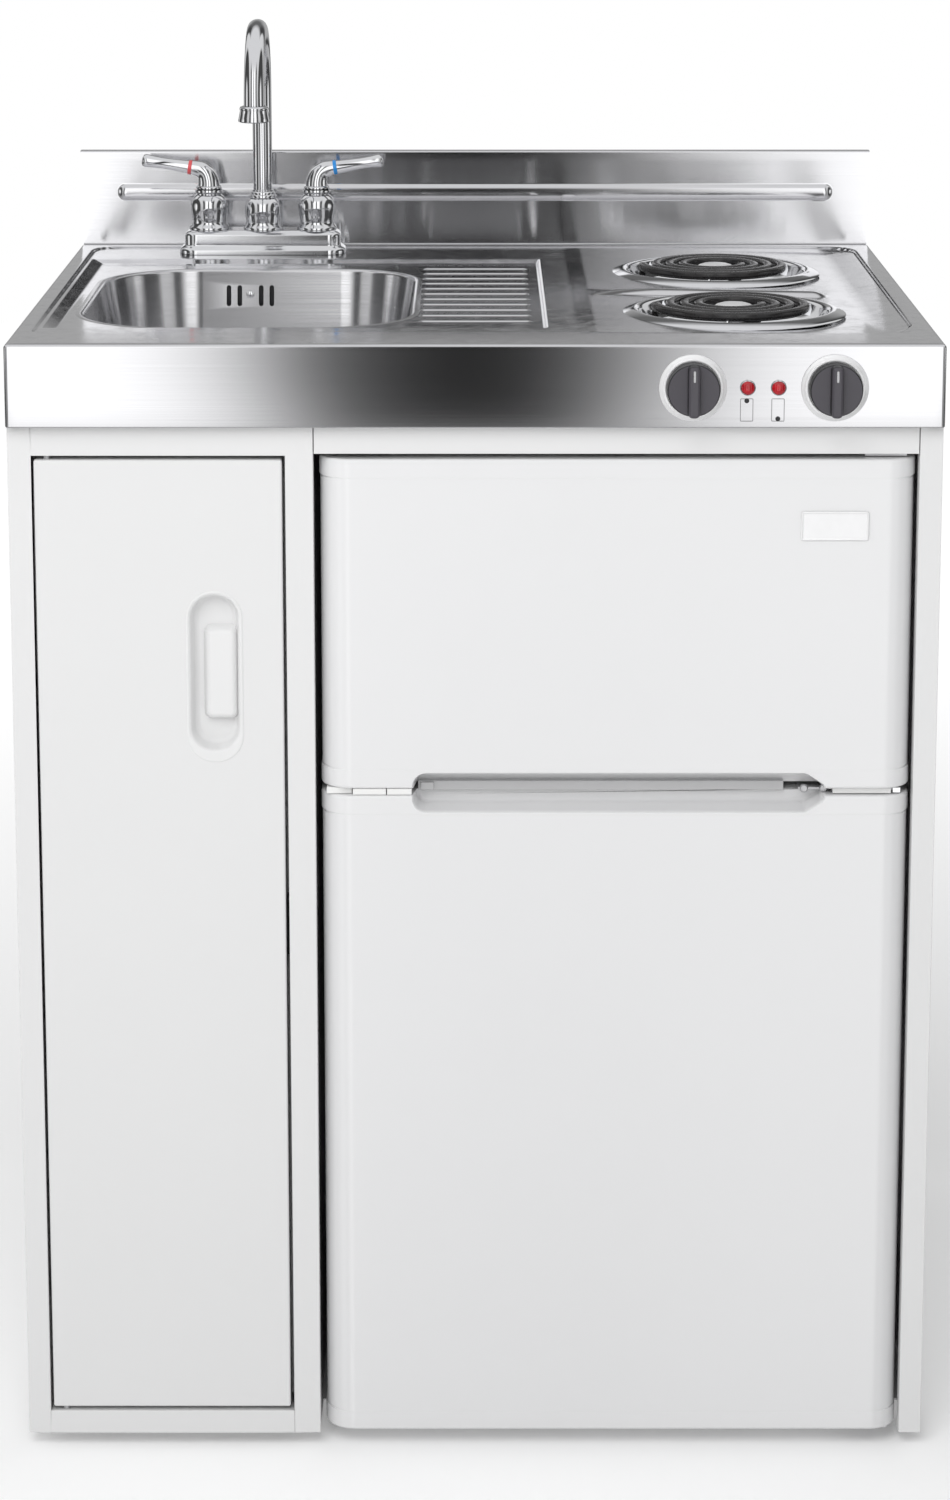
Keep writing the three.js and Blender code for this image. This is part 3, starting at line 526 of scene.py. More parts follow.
class Finish:
    """One material: a Principled shader with the nodes that feed it."""

    def __init__(self, name, colour, roughness, metallic=0.0, **constants):
        self.material = bpy.data.materials.new(name)
        self.material.use_nodes = True
        self.tree = self.material.node_tree
        self.tree.nodes.clear()
        self.shader = self.tree.nodes.new("ShaderNodeBsdfPrincipled")
        output = self.tree.nodes.new("ShaderNodeOutputMaterial")
        self.tree.links.new(self.shader.outputs[0], output.inputs["Surface"])
        self.place = add(self.tree, "ShaderNodeTexCoord").outputs["Object"]
        self.base = tuple(colour)
        self.roughness = roughness
        self.shader.inputs["Base Color"].default_value = (*self.base, 1)
        self.shader.inputs["Roughness"].default_value = roughness
        self.shader.inputs["Metallic"].default_value = metallic
        for socket, value in constants.items():
            self.shader.inputs[socket.replace("_", " ")].default_value = value
        self.material.diffuse_color = (*self.base, 1)
        FINISHES[name] = self.material

    def effect(self, name, **inputs):
        """The outputs of a shared node group that is placed in this material."""
        return add(self.tree, "ShaderNodeGroup", {"node_tree": bpy.data.node_groups[name]},
                   Vector=self.place, **inputs).outputs

    def tint(self, mask, colour):
        self.base = mix(self.tree, mask, self.base, colour)
        self.tree.links.new(self.base, self.shader.inputs["Base Color"])

    def vary_roughness(self, mask, low, high):
        self.roughness = remap(self.tree, mask, 0, 1, low, high)
        self.tree.links.new(self.roughness, self.shader.inputs["Roughness"])

    def roughen(self, mask, amount):
        rougher = math(self.tree, "MULTIPLY", mask, amount)
        self.roughness = math(self.tree, "ADD", self.roughness, rougher)
        self.tree.links.new(self.roughness, self.shader.inputs["Roughness"])

    def bump(self, height, strength, distance=0.1):
        node = add(self.tree, "ShaderNodeBump", Height=height, Strength=strength, Distance=distance * MM)
        self.tree.links.new(node.outputs[0], self.shader.inputs["Normal"])

    def mottle(self, scale, colour):
        """Tints the surface in soft clouds."""
        self.tint(self.effect("Mottle", Scale=scale)["Mask"], colour)

    def uneven(self, scale, low, high):
        """Varies the gloss in soft clouds."""
        self.vary_roughness(self.effect("Mottle", Scale=scale)["Mask"], low, high)

    def dust(self, amount, colour):
        """Tints what faces up with settled dust."""
        self.tint(self.effect("Dust", Amount=amount)["Mask"], colour)

    def scuff(self, density, amount):
        """Dulls the surface along hairline scratches."""
        self.roughen(self.effect("Scuffs", Density=density)["Mask"], amount)

    def peel(self, scale, strength):
        """Gives the surface the low waves of paint or a spark-eroded grain."""
        self.bump(self.effect("Orange Peel", Scale=scale)["Height"], strength)

    def brush(self, axis, amount, turn=0.0):
        """Stretches the highlights round the axis."""
        tangent = add(self.tree, "ShaderNodeTangent", {"direction_type": "RADIAL", "axis": axis})
        self.tree.links.new(tangent.outputs[0], self.shader.inputs["Tangent"])
        self.shader.inputs["Anisotropic"].default_value = amount
        self.shader.inputs["Anisotropic Rotation"].default_value = turn


def darker(colour, share):
    return tuple(c * share for c in colour)


def steel_finishes(steel):
    polished = Finish("polished_steel", steel, 0.1, 1.0)
    grain = polished.effect("Brushed Grain", Lines=(5, 1100, 1100))
    clouds = polished.effect("Mottle", Scale=9.0)["Mask"]
    polished.tint(clouds, darker(steel, 0.94))
    polished.vary_roughness(grain["Streak"], 0.085, 0.13)
    polished.roughen(polished.effect("Dust", Amount=0.12)["Mask"], 1.0)
    polished.scuff(24.0, 0.10)
    polished.bump(grain["Height"], 0.05)

    brushed = Finish("brushed_steel", steel, 0.13, 1.0)
    grain = brushed.effect("Brushed Grain", Lines=(3, 1500, 1500))
    brushed.tint(grain["Streak"], darker(steel, 0.97))
    brushed.vary_roughness(grain["Streak"], 0.115, 0.135)
    brushed.roughen(brushed.effect("Mottle", Scale=5.0)["Mask"], 0.01)
    brushed.bump(grain["Height"], 0.03)
    brushed.brush("X", 1.0)

    bowl = Finish("bowl_steel", darker(steel, 0.97), 0.25, 1.0)
    rows = bowl.effect("Brushed Grain", Lines=(5, 5, 1000))
    bowl.tint(rows["Streak"], darker(steel, 0.9))
    bowl.vary_roughness(rows["Streak"], 0.17, 0.23)
    bowl.scuff(14.0, 0.05)
    bowl.bump(rows["Height"], 0.06)
    bowl.brush("Z", 0.95, 0.25)

    chrome = Finish("chrome", (0.74, 0.745, 0.76), 0.07, 1.0)
    chrome.uneven(30.0, 0.05, 0.09)
    chrome.scuff(60.0, 0.06)
    chrome.dust(0.25, (0.6, 0.6, 0.6))

    satin = Finish("satin_metal", (0.62, 0.62, 0.63), 0.32, 1.0)
    fine = satin.effect("Brushed Grain", Lines=(1400, 1400, 1400))
    satin.vary_roughness(fine["Streak"], 0.26, 0.40)
    satin.mottle(40.0, (0.54, 0.54, 0.55))
    satin.bump(fine["Height"], 0.08)

    bright = Finish("bright_satin", (0.92, 0.92, 0.925), 0.42, 0.4)
    bright.mottle(60.0, (0.87, 0.87, 0.875))
    bright.uneven(35.0, 0.36, 0.48)

    copper = Finish("copper", (0.62, 0.30, 0.17), 0.3, 1.0)
    copper.mottle(70.0, (0.33, 0.17, 0.11))
    copper.uneven(25.0, 0.22, 0.45)


def paint_finishes(paint, enamel):
    sheet = Finish("cabinet_paint", paint, 0.4, Coat_Weight=0.08, Coat_Roughness=0.25)
    sheet.mottle(2.2, darker(paint, 0.975))
    sheet.dust(0.3, (0.62, 0.61, 0.59))
    sheet.uneven(14.0, 0.36, 0.46)
    sheet.peel(420.0, 0.16)

    door = Finish("door_enamel", enamel, 0.22, Coat_Weight=0.3, Coat_Roughness=0.08)
    door.mottle(2.0, darker(enamel, 0.985))
    door.uneven(11.0, 0.2, 0.28)
    door.peel(260.0, 0.06)

    machine = Finish("machine_black", (0.022, 0.022, 0.024), 0.42, Coat_Weight=0.1)
    machine.dust(0.5, (0.16, 0.15, 0.14))
    machine.mottle(30.0, (0.032, 0.032, 0.033))
    machine.uneven(18.0, 0.34, 0.52)
    machine.peel(900.0, 0.3)

    ink = Finish("printed_ink", (0.16, 0.16, 0.165), 0.5)
    ink.mottle(300.0, (0.22, 0.22, 0.225))


def moulded(name, colour, low, high, grain_scale, strength, **constants):
    """A moulded plastic or rubber with a spark-eroded grain."""
    plastic = Finish(name, colour, low, **constants)
    plastic.mottle(6.0, darker(colour, 0.96))
    plastic.uneven(45.0, low, high)
    plastic.peel(grain_scale, strength)
    return plastic


def plastic_finishes(chosen):
    moulded("white_plastic", (0.82, 0.82, 0.81), 0.38, 0.5, 1500.0, 0.15)
    moulded("liner_plastic", (0.80, 0.81, 0.815), 0.3, 0.42, 900.0, 0.08)
    moulded("pull_plastic", (0.76, 0.76, 0.76), 0.38, 0.5, 1500.0, 0.15)
    # The grey plastic also colours the strip that stands for the shade in the pull pocket's gap.
    moulded("grey_plastic", (0.50, 0.50, 0.505), 0.4, 0.5, 1500.0, 0.15)
    moulded("black_plastic", (0.018, 0.018, 0.02), 0.38, 0.55, 1600.0, 0.3)
    moulded("gasket_rubber", (0.66, 0.67, 0.67), 0.6, 0.75, 1200.0, 0.25)
    knob = moulded("knob_plastic", chosen.knob, 0.3, 0.42, 2200.0, 0.2, Coat_Weight=0.15)
    knob.dust(0.4, (0.2, 0.2, 0.2))
    moulded("hot_band", chosen.hot, 0.25, 0.35, 2000.0, 0.05, Coat_Weight=0.4)
    moulded("cold_band", chosen.cold, 0.25, 0.35, 2000.0, 0.05, Coat_Weight=0.4)
    lens = Finish("red_lens", chosen.lamp, 0.06, Coat_Weight=0.6, Coat_Roughness=0.03)
    lens.mottle(220.0, darker(chosen.lamp, 0.55))
    clear = Finish("clear_plastic", (0.86, 0.93, 0.93), 0.08, Transmission_Weight=0.92, IOR=1.49)
    clear.vary_roughness(clear.effect("Scuffs", Density=20.0)["Mask"], 0.06, 0.25)
    clear.mottle(5.0, (0.80, 0.89, 0.90))


def element_finish(element):
    sheath = Finish("element", element, 0.28, Specular_IOR_Level=0.6)
    sheath.mottle(38.0, (0.022, 0.020, 0.020))
    sheath.tint(sheath.effect("Scuffs", Density=70.0)["Mask"], (0.05, 0.047, 0.045))
    sheath.uneven(90.0, 0.2, 0.34)
    sheath.peel(2600.0, 0.05)


CAD_FINISHES = {
    "cabinet_paint": ("left_side_panel", "right_side_panel", "bay_divider", "base_pan", "back_panel",
                      "fridge_casing"),
    "liner_plastic": ("fridge_liner", "thermostat_housing", "thermostat_knob", "freezer_door_liner",
                      "fridge_door_liner"),
    "black_plastic": ("left_front_foot", "left_rear_foot", "right_front_foot", "right_rear_foot",
                      "door_catch", "front_receptacle", "rear_receptacle", "left_switch", "right_switch"),
    "satin_metal": ("upper_pivot", "lower_pivot", "evaporator_plate", "top_hinge", "bottom_hinge"),
    "clear_plastic": ("fridge_shelf", "crisper_cover", "crisper_drawer"),
    "gasket_rubber": ("freezer_gasket", "fridge_gasket"),
    "white_plastic": ("overflow_housing",),
}


class BuildFinishes(Operator):
    """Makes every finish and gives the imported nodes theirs"""
    bl_idname = "kitchenette.finishes"
    bl_label = "Finishes"

    def execute(self, context):
        chosen = settings("finishes")
        for build in (grain_group, mottle_group, peel_group, dust_group, scuff_group):
            build()
        steel_finishes(tuple(chosen.steel))
        paint_finishes(tuple(chosen.paint), tuple(chosen.enamel))
        plastic_finishes(chosen)
        element_finish(tuple(chosen.element))
        for finish, nodes in CAD_FINISHES.items():
            for node in nodes:
                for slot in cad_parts[node].material_slots:
                    slot.material = FINISHES[finish]
        return {"FINISHED"}


# ---------------------------------------------------------------- studio

# How bright the wall in front is, by how far to the side a ray leaves for each step forward. The
# dark opening in its middle is what the apron and the backsplash mirror.
FRONT_WALL = (
    (-0.5, 1.2), (-0.12, 1.6), (-0.094, 1.45), (-0.075, 1.08), (-0.063, 0.70), (-0.053, 0.38),
    (-0.044, 0.14), (-0.030, 0.06), (-0.012, 0.01), (0.014, 0.01), (0.024, 0.06), (0.033, 0.16),
    (0.043, 0.32), (0.055, 0.66), (0.072, 1.0), (0.085, 1.28), (0.12, 1.55), (0.5, 1.2))


def paint_world(world):
    """White to the camera, an even light for plain surfaces, and a studio of bright walls and
    windows with a dark opening in front for the polished ones."""
    world.use_nodes = True
    tree = world.node_tree
    tree.nodes.clear()
    way = add(tree, "ShaderNodeSeparateXYZ", Vector=add(tree, "ShaderNodeTexCoord").outputs["Generated"])
    x, y, z = way.outputs
    forward = math(tree, "MAXIMUM", math(tree, "MULTIPLY", y, -1.0), 0.02)
    across = math(tree, "DIVIDE", x, forward)
    ramp = add(tree, "ShaderNodeValToRGB", Fac=remap(tree, across, -0.5, 0.5, 0, 1))
    elements = ramp.color_ramp.elements
    for (place, level), element in zip(FRONT_WALL[:2], elements):  # the two that a new ramp has
        element.position, element.color = place + 0.5, (level, level, level, 1)
    for place, level in FRONT_WALL[2:]:
        elements.new(place + 0.5).color = (level, level, level, 1)
    front = ramp.outputs[0]
    rear = mix(tree, remap(tree, z, 0.18, 0.45, 0, 1), (0.44,) * 3, (0.16,) * 3)
    # The walls at both sides are dark, each with a window that is brighter higher up.
    aside = math(tree, "ABSOLUTE", x)
    dark = math(tree, "MULTIPLY", remap(tree, aside, 0.28, 0.42, 0, 1),
                remap(tree, aside, 0.955, 0.985, 1, 0))
    off_window = math(tree, "ABSOLUTE", math(tree, "SUBTRACT", aside, 0.66))
    window = remap(tree, off_window, 0.09, 0.14, 1, 0)
    window_level = remap(tree, z, -0.5, 0.5, 0.5, 0.85)
    walls = mix(tree, remap(tree, y, -0.02, 0.05, 0, 1), front, rear)
    walls = mix(tree, dark, walls, (0.07,) * 3)
    walls = mix(tree, window, walls, window_level)
    walls = mix(tree, remap(tree, z, -0.5, -0.7, 0, 1), walls, (0.42,) * 3)
    room = mix(tree, remap(tree, z, 0.62, 0.8, 0, 1), walls, (0.85, 0.85, 0.86))
    rays = add(tree, "ShaderNodeLightPath").outputs
    seen = mix(tree, rays["Is Glossy Ray"], (0.56, 0.562, 0.565), room)
    seen = mix(tree, rays["Is Camera Ray"], seen, (1.0, 1.0, 1.0))
    background = add(tree, "ShaderNodeBackground", Color=seen, Strength=1.0)
    output = tree.nodes.new("ShaderNodeOutputWorld")
    tree.links.new(background.outputs[0], output.inputs["Surface"])


def add_light(name, place, aim, width, height, power):
    lamp = bpy.data.lights.new(name, "AREA")
    lamp.shape = "RECTANGLE"
    lamp.size, lamp.size_y = width, height
    lamp.energy = power
    holder = bpy.data.objects.new(name, lamp)
    holder.location = place
    holder.rotation_euler = (Vector(aim) - Vector(place)).to_track_quat("-Z", "Y").to_euler()
    holder.visible_glossy = False
    bpy.context.scene.collection.objects.link(holder)


class BuildStudio(Operator):
    """Adds the camera, the floor, the world and the lights"""
    bl_idname = "kitchenette.studio"
    bl_label = "Studio"

    def execute(self, context):
        chosen = settings("studio")
        scene = context.scene
        camera = bpy.data.objects.new("camera", bpy.data.cameras.new("camera"))
        camera.data.sensor_width = 36.0
        camera.data.lens = chosen.camera_lens
        camera.data.shift_y = chosen.camera_rise
        camera.location = chosen.camera_place
        camera.rotation_euler = Euler((pi / 2 - chosen.camera_tilt, 0, 0))
        scene.collection.objects.link(camera)
        scene.camera = camera

        ground = Finish("studio_floor", chosen.floor_colour, 0.9, Emission_Strength=1.0)
        ground.mottle(1.5, darker(chosen.floor_colour, 0.995))
        away = add(ground.tree, "ShaderNodeVectorMath", {"operation": "LENGTH"},
                   _0=ground.place).outputs["Value"]
        glow = mix(ground.tree, remap(ground.tree, away, 0.5, 2.6, 0, 1), (0.12,) * 3, (0.5,) * 3)
        ground.tree.links.new(glow, ground.shader.inputs["Emission Color"])
        sheet = Shell()
        sheet.loft([flat(circle(0, 0, radius, 96), -0.5) for radius in (400, 1500, 6000)], last=False)
        floor = mesh_object("floor", sheet, ("studio_floor",))
        floor.visible_glossy = False

        scene.world = scene.world or bpy.data.worlds.new("world")
        paint_world(scene.world)
        add_light("key", (-0.5, -2.1, 2.3), (0, -0.3, 0.9), 1.6, 1.6, 30)
        add_light("fill", (-2.6, -1.2, 1.6), (0, -0.2, 0.6), 1.4, 1.4, 8)
        scene.view_settings.view_transform = "Standard"
        return {"FINISHED"}


# ---------------------------------------------------------------- cabinet

class BuildCabinet(Operator):
    """Builds the face frame, the waste fittings and the screws of the cabinet"""
    bl_idname = "kitchenette.cabinet"
    bl_label = "Cabinet"

    def execute(self, context):
        low, high = span("face_frame")
        y0, y1 = low.y, high.y
        cupboard_left, cupboard_right, cupboard_foot, cupboard_top = -359.4, -153, 32, 856.4
        bay_left, bay_right, bay_top = -131.0, 359.5, 858.0
        shell = Shell()
        for x0, x1, z0, z1 in ((low.x, cupboard_left, low.z, high.z),
                               (cupboard_right, bay_left, low.z, high.z),
                               (bay_right, high.x, low.z, high.z),
                               (cupboard_left, cupboard_right, cupboard_top, high.z),
                               (cupboard_left, cupboard_right, low.z, cupboard_foot)):
            shell.block(x0, x1, y0, y1, z0, z1)
        shell.block(bay_left + 0.7, bay_right - 0.7, y0 + 0.2, y1, bay_top, high.z)
        stop = y0 + 30.5  # a thin stop behind the cupboard door's latch edge
        shell.block(-161, -150.5, stop, y0 + 31.7, 34, 855)
        make_piece("welded_face_frame", shell, "cabinet_paint", "unit", "cabinet_paint",
                   ("face_frame",), bevel=0.8)

        screws = Shell()
        top_row = 868
        for x in (-366, -250, -145):
            for z in (40, 330, 640, top_row):
                screws.screw((x, REAR, z), 3.4, "rear")
        for side, facing in ((-HALF, "left"), (HALF, "right")):
            for y in (-220, 20, 260):
                screws.screw((side + 0.3 * side / HALF, y, top_row), 3.2, facing)
        make_piece("panel_screws", screws, "satin_metal", "unit", "satin_metal")
        self.waste()
        return {"FINISHED"}

    def waste(self):
        """The waste pipe with its bend, its nuts and the plug under the bend."""
        low, high = span("waste_trap")
        x, y = (low.x + high.x) / 2, deep(DRAIN[1])
        outlet, top = 646.0, high.z
        bends = ((0, top), (0, top - 40), (0, outlet - 36), (12, outlet - 66), (42, outlet - 80),
                 (72, outlet - 66), (84, outlet - 36), (98, outlet - 10), (128, outlet), (220, outlet))
        path = [(x, y + back, z) for back, z in bends] + [(x, high.y, outlet)]
        pipe = Shell()
        pipe.sweep(smooth_path(path, 7), 17.5, 28, side=(1, 0, 0))
        nut = [(18, -9), (23, -9), (24, -7), (24, 7), (23, 9), (18, 9)]
        for z in (top - 12, outlet - 26):
            pipe.turn(nut, (x, y, z), "up", 40)
            for rib_x, rib_y in circle(x, y, 24, 12):
                pipe.turn([(2.2, -7), (2.2, 7)], (rib_x, rib_y, z), "up", 8)
        pipe.turn(nut, (x, y + 140, outlet), "front", 40)
        pipe.turn([(0, -6), (15, -6), (16, -4), (16, 8)], (x, y + 42, outlet - 100), "up", 32)
        make_piece("smooth_waste_trap", pipe, "white_plastic", "unit", "white_plastic", ("waste_trap",))


class BuildCupboardDoor(Operator):
    """Builds the cupboard door with its moulded finger pull"""
    bl_idname = "kitchenette.cupboard_door"
    bl_label = "Cupboard door"

    def execute(self, context):
        low, high = span("cabinet_door")
        fold = size("doors", "fold_radius")
        outline = rounded(low.x, high.x, low.z, high.z, 2.0, 4)
        inner = offset(outline, -1.4)
        front = low.y
        rings = [upright(inner, front + 2), upright(inner, high.y), upright(outline, high.y)]
        for i in range(6):
            angle = radians(90 * i / 5)
            shrink = fold * (1 - cos(angle))
            rings.append(upright(offset(outline, -shrink), front + fold * (1 - sin(angle))))
        shell = Shell()
        shell.loft(rings)
        door = mesh_object("folded_cupboard_door", shell, ("cabinet_paint",))
        x0, x1, z0, z1 = -233.0, -191.5, 610.0, 742.0
        radius = (x1 - x0) / 2
        mouth = rounded(x0, x1, z0, z1, radius - 0.6, 16)
        hole = Shell()
        hole.plaque(offset(mouth, 0.3), front - 5, front + 40)
        carve(door, cutter(hole))
        finish_piece(door, "cabinet_door", "cabinet_paint", ("cabinet_door",))

        depth = size("doors", "pull_depth")
        lip = rounded(x0 - 2.5, x1 + 2.5, z0 - 9.5, z1 + 2.5, radius + 1.9, 16)
        cup = Shell()
        steps = ((lip, 0, -0.05), (lip, -0.6, 0.45), (lip, -1.6, 0.7), (mouth, 1.4, 0.65),
                 (mouth, 0.2, 0.35), (mouth, -0.8, -0.6), (mouth, -1.6, -2.6), (mouth, -3.0, -depth + 3.6),
                 (mouth, -4.2, -depth + 1.2), (mouth, -6.6, -depth), (mouth, -8.0, -depth))
        cup.loft([upright(offset(ring, grow), front - out) for ring, grow, out in steps], first=False)
        block = rounded(-219.5, -195.5, 637, 711, 4.0, 6)
        inside = rounded(-214.5, -200.5, 642, 706, 1.0, 6)
        hood = ((2.6, 0.2), (1.9, 2.2), (0.6, 6.2), (-1.0, 8.2), (-3.0, 8.9), (-3.6, 9.0))
        cup.loft([upright(offset(block, grow), front + depth - rise) for grow, rise in hood]
                 + [upright(inside, front + depth - 9.0)])
        rim = rounded(x0 + 0.2, x1 - 0.2, z0 + 0.2, z1 - 0.2, radius - 0.8, 16)
        cup.relief(rim, front, ((-0.4, -2.0), (-1.0, -depth - 0.5), (-4.0, -depth - 1.5)), first=False)
        make_piece("moulded_finger_pull", cup, "pull_plastic", "cabinet_door", "door_enamel",
                   ("finger_pull",), sharp=50)
        return {"FINISHED"}


# ---------------------------------------------------------------- worktop

def grid_lines(low, high, step, zones):
    """Even lines from low to high, closer together in each zone of (start, end, step)."""
    def zone_of(value):
        return next((z for z in zones if z[0] - 0.01 <= value <= z[1] + 0.01), None)

    lines = [low, high]
    count = max(1, round((high - low) / step))
    lines += [v for v in (low + (high - low) * i / count for i in range(count)) if not zone_of(v)]
    for start, end, fine in zones:
        steps = max(1, round((end - start) / fine))
        lines += [start + (end - start) * i / steps for i in range(steps + 1)]
    kept = []
    for value in sorted(v for v in lines if low <= v <= high):
        if not kept or value - kept[-1] > 0.35:
            kept.append(value)
    kept[-1] = high
    return kept


def rect_distance(x, y, box, radii):
    """How far a point lies outside a rectangle with round corners, or inside it below zero."""
    x0, x1, y0, y1 = box
    fl, fr, rr, rl = radii
    right, rear = x > (x0 + x1) / 2, y > (y0 + y1) / 2
    radius = (rr if rear else fr) if right else (rl if rear else fl)
    qx = abs(x - (x0 + x1) / 2) - (x1 - x0) / 2 + radius
    qy = abs(y - (y0 + y1) / 2) - (y1 - y0) / 2 + radius
    return hypot(max(qx, 0), max(qy, 0)) + min(max(qx, qy), 0) - radius


# Places on the worktop: left and right of the middle, then front and rear behind the apron.
LEDGE = (-364, 362, 67, 588)
SINK_AREA = (-364, 62, 92, 518)
HOB_AREA = (84, 362, 58, 588)
BOWL = (-336, -52.5, 119, 464)
RIDGES = (-43.5, 44, 152, 466)
RIB_END, RIB_U = 296, 291

BOWL_CORNERS = (85, 85, 72, 85)
DRAIN = (-194, 292, 43)  # its X, its place behind the apron and its radius
WELL_RADIUS = 83.5
DECK_LEFT, DECK_RUN, DECK_DROP = 100, 230, 0.3  # where the hob's fall starts, its run and its drop there
RIDGE_HALF, RIB_HEIGHT = 3.8, 4.4


def sunken_share(x, u, box, slopes):
    """0 outside the box and 1 past its slopes, which are left, right, front and rear."""
    x0, x1, u0, u1 = box
    left, right, front, rear = slopes
    return ease(min((x - x0) / left, (x1 - x) / right, (u - u0) / front, (u1 - u) / rear))


def top_height(x, u):
    """The worktop's height over its rim at a place."""
    work = settings("worktop")
    ledge = ease(-rect_distance(x, u, LEDGE, (6, 40, 38, 30)) / 3) * work.ledge_drop / MM
    sink = sunken_share(x, u, SINK_AREA, (17, 5, 16, 20)) * work.sink_drop / MM
    hob_corner = ease(-rect_distance(x, u, HOB_AREA, (5, 20, 38, 6)) / 12)
    hob = min(hob_corner, sunken_share(x, u, HOB_AREA, (16, 32, 12, 8)))
    fall = min(max((x - DECK_LEFT) / DECK_RUN, 0), 1)
    deck = DECK_DROP + (work.hob_drop / MM - DECK_DROP) * fall
    height = -max(ledge, sink) * (1 - hob) - deck * hob
    x0, x1, u0, u1 = RIDGES
    if x0 - 4 < x < x1 + 4 and u0 - 5 < u < u1 + 5:
        pitch = (u1 - u0) / (work.ridge_count - 1)
        nearest = u0 + pitch * min(max(round((u - u0) / pitch), 0), work.ridge_count - 1)
        away = hypot(max(x0 - x, x - x1, 0), u - nearest) / RIDGE_HALF
        if away < 1:
            height += work.ridge_height / MM * (1 - away * away) ** 1.5
    if 92 < x < 318 and 262 < u < 322:  # the rib between the rings, wider and lower at its left
        spread = min(max((150 - x) / 55, 0), 1)
        half = 12 + 12 * spread * spread
        away = hypot(max(x - RIB_END, 0), u - RIB_U) / half
        if away < 1:
            lift = min(max((x - DECK_LEFT) / 60, 0), 1) ** 0.7
            height += RIB_HEIGHT * (1 - away * away) ** 0.9 * lift
    return height


def bowl_distance(x, u):
    """How far a place lies outside the bowl's opening, or inside it below zero."""
    return rect_distance(x, u, BOWL, BOWL_CORNERS)


def well_distance(centre):
    """The same for the round opening of a drip pan, whose centre lies this far behind the apron."""
    return lambda x, u: hypot(x - size("hob", "burner_x"), u - centre) - WELL_RADIUS


def onto_edge(x, u, distance):
    """The nearest place on an opening's edge."""
    for _ in range(3):
        away = distance(x, u)
        gx = distance(x + 0.1, u) - away
        gu = distance(x, u + 0.1) - away
        reach = max(hypot(gx, gu), 1e-6)
        x -= away * gx / reach
        u -= away * gu / reach
    return x, u


def edge_rows(shell, border, radius, bottom, fold):
    """Carries a border of (place, outward directions) over a round edge and down to the hem."""
    ring = []
    for place, ways in border:
        ring += [(Vector(place), Vector((*way, 0))) for way in ways]
    rows = []
    for i in range(7):
        angle = radians(15 * i)
        rows.append(shell.row([
            p + n * (radius * sin(angle)) - Vector((0, 0, radius * (1 - cos(angle)))) for p, n in ring]))
    outside = [p + n * radius for p, n in ring]
    for z, inward in ((bottom + 1.2, 0), (bottom + 0.35, 0.35), (bottom, 1.2), (bottom, fold),
                      (bottom + 2.5, fold)):
        rows.append(shell.row([
            Vector((p.x - n.x * inward, p.y - n.y * inward, z)) for p, (_, n) in zip(outside, ring)]))
    for a, b in zip(rows, rows[1:]):
        shell.bridge(a, b)


class BuildWorktop(Operator):
    """Builds the pressed worktop with its sunken areas, drainer and skirts"""
    bl_idname = "kitchenette.worktop"
    bl_label = "Worktop"

    def execute(self, context):
        radius = size("worktop", "edge_radius")
        depth = REAR - FRONT
        count = settings("worktop").ridge_count
        ridge_u, pitch = RIDGES[2], (RIDGES[3] - RIDGES[2]) / (count - 1)
        ridge_zones = [(ridge_u + pitch * i - 4.2, ridge_u + pitch * i + 4.2, 0.85) for i in range(count)]
        # The lines lie closer together where the sheet bends: at the ledges, the ridges and the rib.
        xs = grid_lines(-HALF + radius, HALF - radius, 6, [
            (-366, -344, 1.4), (-49, -39, 1.2), (38, 64, 1.0), (83, 128, 1.5), (294, 312, 2.2),
            (345, 365, 1.2)])
        us = grid_lines(radius, depth - radius, 6, [
            (56, 72, 1.2), (90, 110, 1.5), (278, 304, 1.6), (496, 539, 1.6), (583, 590, 0.9)] + ridge_zones)
        openings = [bowl_distance] + [well_distance(size("hob", end + "_ring")) for end in ("front", "rear")]
        shell = Shell()
        shell.points = [Vector((x, deep(u), 0)) for u in us for x in xs]
        inside = [next((d for d in openings if d(x, u) < 0), None) for u in us for x in xs]
        width = len(xs)
        kept = []
        for j in range(len(us) - 1):
            for i in range(width - 1):
                near, far = j * width + i, (j + 1) * width + i
                corners = (near, near + 1, far + 1, far)
                if not all(inside[c] for c in corners):
                    kept.append(corners)
        for c in {c for corners in kept for c in corners if inside[c]}:
            point = shell.points[c]
            x, u = onto_edge(point.x, point.y - FRONT, inside[c])
            point.x, point.y = x, deep(u)
        for corners in kept:
            shell.face(*corners)
        for point in shell.points:
            point.z = up(top_height(point.x, point.y - FRONT))

        last = len(us) - 1
        border = []
        sides = [([(i, 0) for i in range(width)], -90), ([(width - 1, j) for j in range(len(us))], 0),
                 ([(i, last) for i in reversed(range(width))], 90),
                 ([(0, j) for j in reversed(range(len(us)))], 180)]
        for places, heading in sides:
            for i, j in places[1:]:
                ways = arc(0, 0, 1, heading, heading + 90, 6)
                corner = (i, j) == places[-1]
                border.append((shell.points[j * width + i].copy(), ways if corner else ways[:1]))
        shell.finish = 1
        edge_rows(shell, border, radius, SKIRT, 11)
        used = sorted({c for face in shell.faces for c in face})
        order = {c: k for k, c in enumerate(used)}
        shell.points = [shell.points[c] for c in used]
        shell.faces = [tuple(order[c] for c in face) for face in shell.faces]
        make_piece("pressed_worktop", shell, ("polished_steel", "brushed_steel"), "unit", "stainless",
                   ("worktop",), sharp=60, weighted=False)
        return {"FINISHED"}


def keep_inside(piece, low, high):
    """Stops the script if a thickened sheet leaves its node's box."""
    depth = [v.co.y / MM for v in piece.data.vertices]
    if min(depth) < low.y - 0.2 or max(depth) > high.y + 0.2:
        raise RuntimeError(f"{piece.name} leaves its node's box: {min(depth):.2f} to {max(depth):.2f}")


